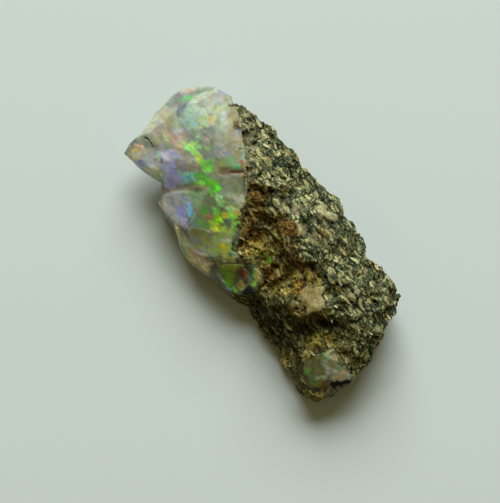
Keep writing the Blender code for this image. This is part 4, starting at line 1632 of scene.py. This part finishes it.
# recess is painted shade: a hollow beside the wedge, darkened nearly black.
CAP_CRUST_AND_SHADE = patches("""
recess #0C0A06 1 3.9,-6.6 3.8,-5.7 3.6,-5 4.5,-4.8 5.5,-4.4 5.9,-4.7 4.1,-6.4;
right_film #D8B888 1 1.9,-3.3 2.6,-1.9 5.6,-3.5 4.7,-4.8 4.3,-4.3 4,-3.3 3,-3 2.3,-3.3;
between #C89058 0.7 1.5,-4.1 2,-3.8 3.5,-4.9 3.3,-5.2;
brown_blob #FFD088 0.8 -11.9,3.5 -11.7,4.1 -10.9,4.1 -10.6,3.5 -11.2,3.2;
corner_crust #FFE2B4 0.92 -15.1,5.7 -14.3,5.1 -13.3,4.9 -12.6,5.2 -12.8,6.6 -15,6.6;
rim_crust #FFE4B8 0.42 -5.4,-8.3 -4.6,-7.8 -2.7,-7.8 -0.9,-7.4 0.8,-6.6 0.6,-7.5 -1.4,-8.5 -3.2,-9;
speck_one #E8A850 0.9 -13.8,-5.8 -13.6,-5.6 -13.3,-5.8 -13.5,-6;
speck_two #E8A850 0.9 -13.3,-5.3 -13.1,-5.2 -12.8,-5.3 -13,-5.5
""")
END_TINTS = tints("""
cream_top #989E72 1 15.6,-2 1.4,0.8;
grey_face #6C7058 1 16.6,-3.4 1.4,1.4;
green_face #545A30 1 17,-4.8 1.4,1.2;
brown_rim #4E4422 1 18.4,-5.4 0.8,1.2;
pinkish #787258 1 18,-2.2 1,0.8
""")
END_FACETS = patches("""
cream_top #BED3A5 1 14.3,-2.5 14.5,-1.8 15.1,-1.3 16.5,-1.3 16.2,-2.1 15.5,-2.8;
grey_face #81823E 1 13.8,-4.5 14.6,-2.8 16.1,-2.7 17.2,-3.5 16.2,-5.3 14.9,-5.4;
mid_cream #A2A363 1 15.5,-2.7 16.4,-1.3 17.4,-0.4 17.2,-1.5 16.8,-3;
pink_slab #B7A76A 1 16.7,-3.1 17.2,-1.4 17.9,-0.7 18.6,-1.7 17.5,-3.3;
toe #D2CA53 1 16.5,-6.5 17.9,-4.5 18,-3.9 18.2,-5.6 17.4,-6.4;
brown_step #613A0D 1 16.6,-4.3 17.4,-3.4 18,-3.8 17.8,-4.6 17,-5.6;
left_dark #6F6738 0.9 15.2,-5.9 16,-5.3 16.8,-5.5 16.1,-6.3;
left_green #C8BD29 0.9 13.6,-5.4 13.8,-4.5 15.1,-5.4 15.4,-6.1 14.2,-6
""")
# highlight is a painted highlight: a pale arc on the rounded break.
END_FIRE = patches("""
highlight #C5CDB7 0.9 15,-3.1 15.5,-2.8 16.3,-2.8 16.9,-3.3 16.8,-4.1 16.2,-4.7 16,-4.6 16.4,-4.1 16.5,-3.4
  16.1,-3.2 15.4,-3.3;
green_speck #5DA71D 0.95 14.8,-4.9 15.1,-4.5 15.6,-4.8 15.3,-5.2;
green_low #4C763A 0.8 15.8,-4.8 16,-4.4 16.9,-4.7 16.6,-5.2;
green_step #808931 0.7 16.4,-5.2 16.9,-4.3 17.2,-4.7 16.7,-5.4;
pale_line #B0D2B0 0.8 16.5,-2.9 16.8,-1.1 17.3,-1.3 16.8,-3;
peach #CCB98E 0.8 17,-2.2 17.4,-1.6 18,-2 17.5,-2.5;
grey_white #A9BFBB 0.8 17.6,-1.6 17.9,-1.1 18.4,-1.6 18.1,-1.9;
lime_streak #ADDE3A 0.8 17.2,-1.5 17.5,-0.3 17.9,-0.3 17.5,-1.4;
orange_rim #F7F7E8 0.7 18.5,-1.6 18.7,-1.1 19.8,-1.2 18.8,-1.9
""")
END_BREAKS = (
    BreakFace("end_grey", (
        (13.5, -4.4), (14.6, -2.7), (16.1, -2.7), (17.1, -3.5), (16.2, -5.1), (14.7, -5.3),
    )),
    BreakFace("end_slab", ((16.6, -3.0), (17.4, -0.7), (18.4, -1.1), (18.6, -1.7), (17.5, -3.4))),
)
# end_notch is painted shade: the notch at the end, darkened nearly black.
END_CRUST_AND_SHADE = patches("""
end_notch #0C0A06 1 17.3,-3.5 18,-2.5 18.5,-1.4 18.8,-1.6 18.5,-2.8 18.1,-3.8;
end_dark_line #14120A 0.9 15.7,-6.3 16.8,-5.5 17.9,-4.4 18,-4.5 17.1,-5.9 16,-6.6;
end_left_rock #E0C890 0.9 12.9,-5.2 13.5,-4.4 14.9,-5.2 15.8,-5.9 16.6,-5.8 17.6,-4.7 18.1,-4.4 18.6,-5.6
  17,-7.2 13.6,-6.8;
end_toe_rock #9A9060 0.5 16.6,-6.5 18,-4.6 18.1,-3.8 18.2,-5.6 17.4,-6.4;
end_rim #A89068 0.8 18.1,-3.6 18.5,-2.8 18.8,-1.5 20,-1.5 18.8,-2.9 18.3,-4.1
""")


@dataclass(frozen=True)
class Backdrop:
    """Plain matt paper that the stone lies on, pale grey-green."""

    size: float = 900.0
    hue: str = "#C4CFCB"

    def build(self) -> None:
        """Make the floor just under the stone."""
        mesh = bpy.data.meshes.new("paper_floor")
        work = bmesh.new()
        bmesh.ops.create_grid(work, x_segments=1, y_segments=1, size=self.size / 2 * MM)
        work.to_mesh(mesh)
        work.free()
        material, add = new_material("pale_paper")
        shader = add("BsdfPrincipled", {
            "Base Color": rgba(self.hue), "Roughness": 0.9, "Specular IOR Level": 0.2,
        })
        add("OutputMaterial", (shader,))
        floor = add_piece("paper_floor", mesh)
        dress(floor, material)


def toward(heading: float, height: float) -> Vector:
    """Direction from the stone: a plan angle from +X, and one above the floor, in degrees."""
    way, up = math.radians(heading), math.radians(height)
    return Vector((math.cos(way) * math.cos(up), math.sin(way) * math.cos(up), math.sin(up)))


@dataclass(frozen=True)
class WindowLight:
    """Soft daylight from a window to the upper right of the picture, and a warm dim room.

    Attributes:
        heading: plan angle from +X towards the window, in degrees.
        height: angle of the window above the floor, in degrees.
        distance: how far away it is, in millimetres.
        size: width of the window.
        power: its strength, in watts.
        tint: its colour.
        room: colour of the light that the room gives back.
        room_strength: how strong that is.
    """

    heading: float = 144.0
    height: float = 42.0
    distance: float = 900.0
    size: float = 680.0
    power: float = 12.4
    tint: str = "#F9FDFF"
    room: str = "#FFEBAA"
    room_strength: float = 0.18

    def build(self) -> None:
        """Hang the window and light the room."""
        lamp = bpy.data.lights.new("window", "AREA")
        lamp.shape = "SQUARE"
        lamp.size = self.size * MM
        lamp.energy = self.power
        lamp.color = linear(self.tint)
        window = add_piece("window", lamp)
        way = toward(self.heading, self.height)
        window.location = way * self.distance * MM
        window.rotation_euler = way.to_track_quat("Z", "Y").to_euler()
        world = bpy.data.worlds.new("room")
        world.use_nodes = True
        bpy.context.scene.world = world
        backdrop = world.node_tree.nodes["Background"]
        backdrop.inputs["Color"].default_value = rgba(self.room)
        backdrop.inputs["Strength"].default_value = self.room_strength


@dataclass(frozen=True)
class Shot:
    """The photograph's view: nearly from above, with the stone lying across the frame.

    Attributes:
        azimuth: turn about Z in degrees; 0 looks along +Y.
        elevation: degrees above the floor.
        scale: millimetres that one pixel covers at the stone.
        width: the picture's width, in pixels.
        height: its height.
        origin: the pixel that shows the frame's origin.
        lens: focal length, in millimetres; long, so the view is almost parallel.
        sensor: width of the sensor.
    """

    azimuth: float = 56.0
    elevation: float = 78.0
    scale: float = 0.114
    width: int = 500
    height: int = 503
    origin: tuple[float, float] = (266.7, 243.5)
    lens: float = 110.0
    sensor: float = 36.0

    def build(self) -> None:
        """Place the camera."""
        back = toward(self.azimuth - 90, self.elevation)
        stance = (-back).to_track_quat("-Z", "Y")
        longest = max(self.width, self.height) * self.scale
        right, up = stance @ Vector((1, 0, 0)), stance @ Vector((0, 1, 0))
        aim = right * (self.width / 2 - self.origin[0]) - up * (self.height / 2 - self.origin[1])
        lens = bpy.data.cameras.new("camera")
        lens.lens = self.lens
        lens.sensor_width = self.sensor
        camera = add_piece("camera", lens)
        camera.rotation_mode = "QUATERNION"
        camera.rotation_quaternion = stance
        camera.location = (aim * self.scale + back * (longest * self.lens / self.sensor)) * MM
        bpy.context.scene.camera = camera


def main() -> None:
    """Build the stone, its stage and its light, in that order."""
    logging.basicConfig(level=logging.INFO, format="%(name)s %(message)s")
    bpy.context.scene.view_settings.view_transform = "Standard"
    cap = OpalPiece(
        Skin(Mineral.OPAL, "opal_cap_break", 0.10, rubbed=10), Slot.OPAL, PreciousOpal(),
        CAP_TINTS, CAP_FACETS, CAP_FIRE, CAP_CREASES, CAP_BREAKS, CAP_CRUST_AND_SHADE,
    ).build()
    patch = OpalPiece(
        Skin(Mineral.END_OPAL, "opal_patch_break", 0.08, rubbed=8), Slot.END_OPAL,
        PreciousOpal("grey_opal", see_through=0.08, roughness=0.3, gloss=0.2),
        END_TINTS, END_FACETS, END_FIRE, breaks=END_BREAKS, crust=END_CRUST_AND_SHADE,
        stray=12, ripple=0.05, drawn_in=0.22, wisp=0.4,
    ).build()
    host = HostRock(ROCK_CRYSTALS, ROCK_RUST, ROCK_OCHRE, ROCK_SHADE, ROCK_PALE)
    rock = host.build([cap.data, patch.data])
    laths = FeldsparLaths().build(rock, Feldspar().material())
    for piece in (cap, patch, rock, laths):
        triangles = sum(len(face.vertices) - 2 for face in piece.data.polygons)
        LOG.info("%s: %d triangles", piece.name, triangles)
    Backdrop().build()
    WindowLight().build()
    Shot().build()


if __name__ == "__main__":
    main()
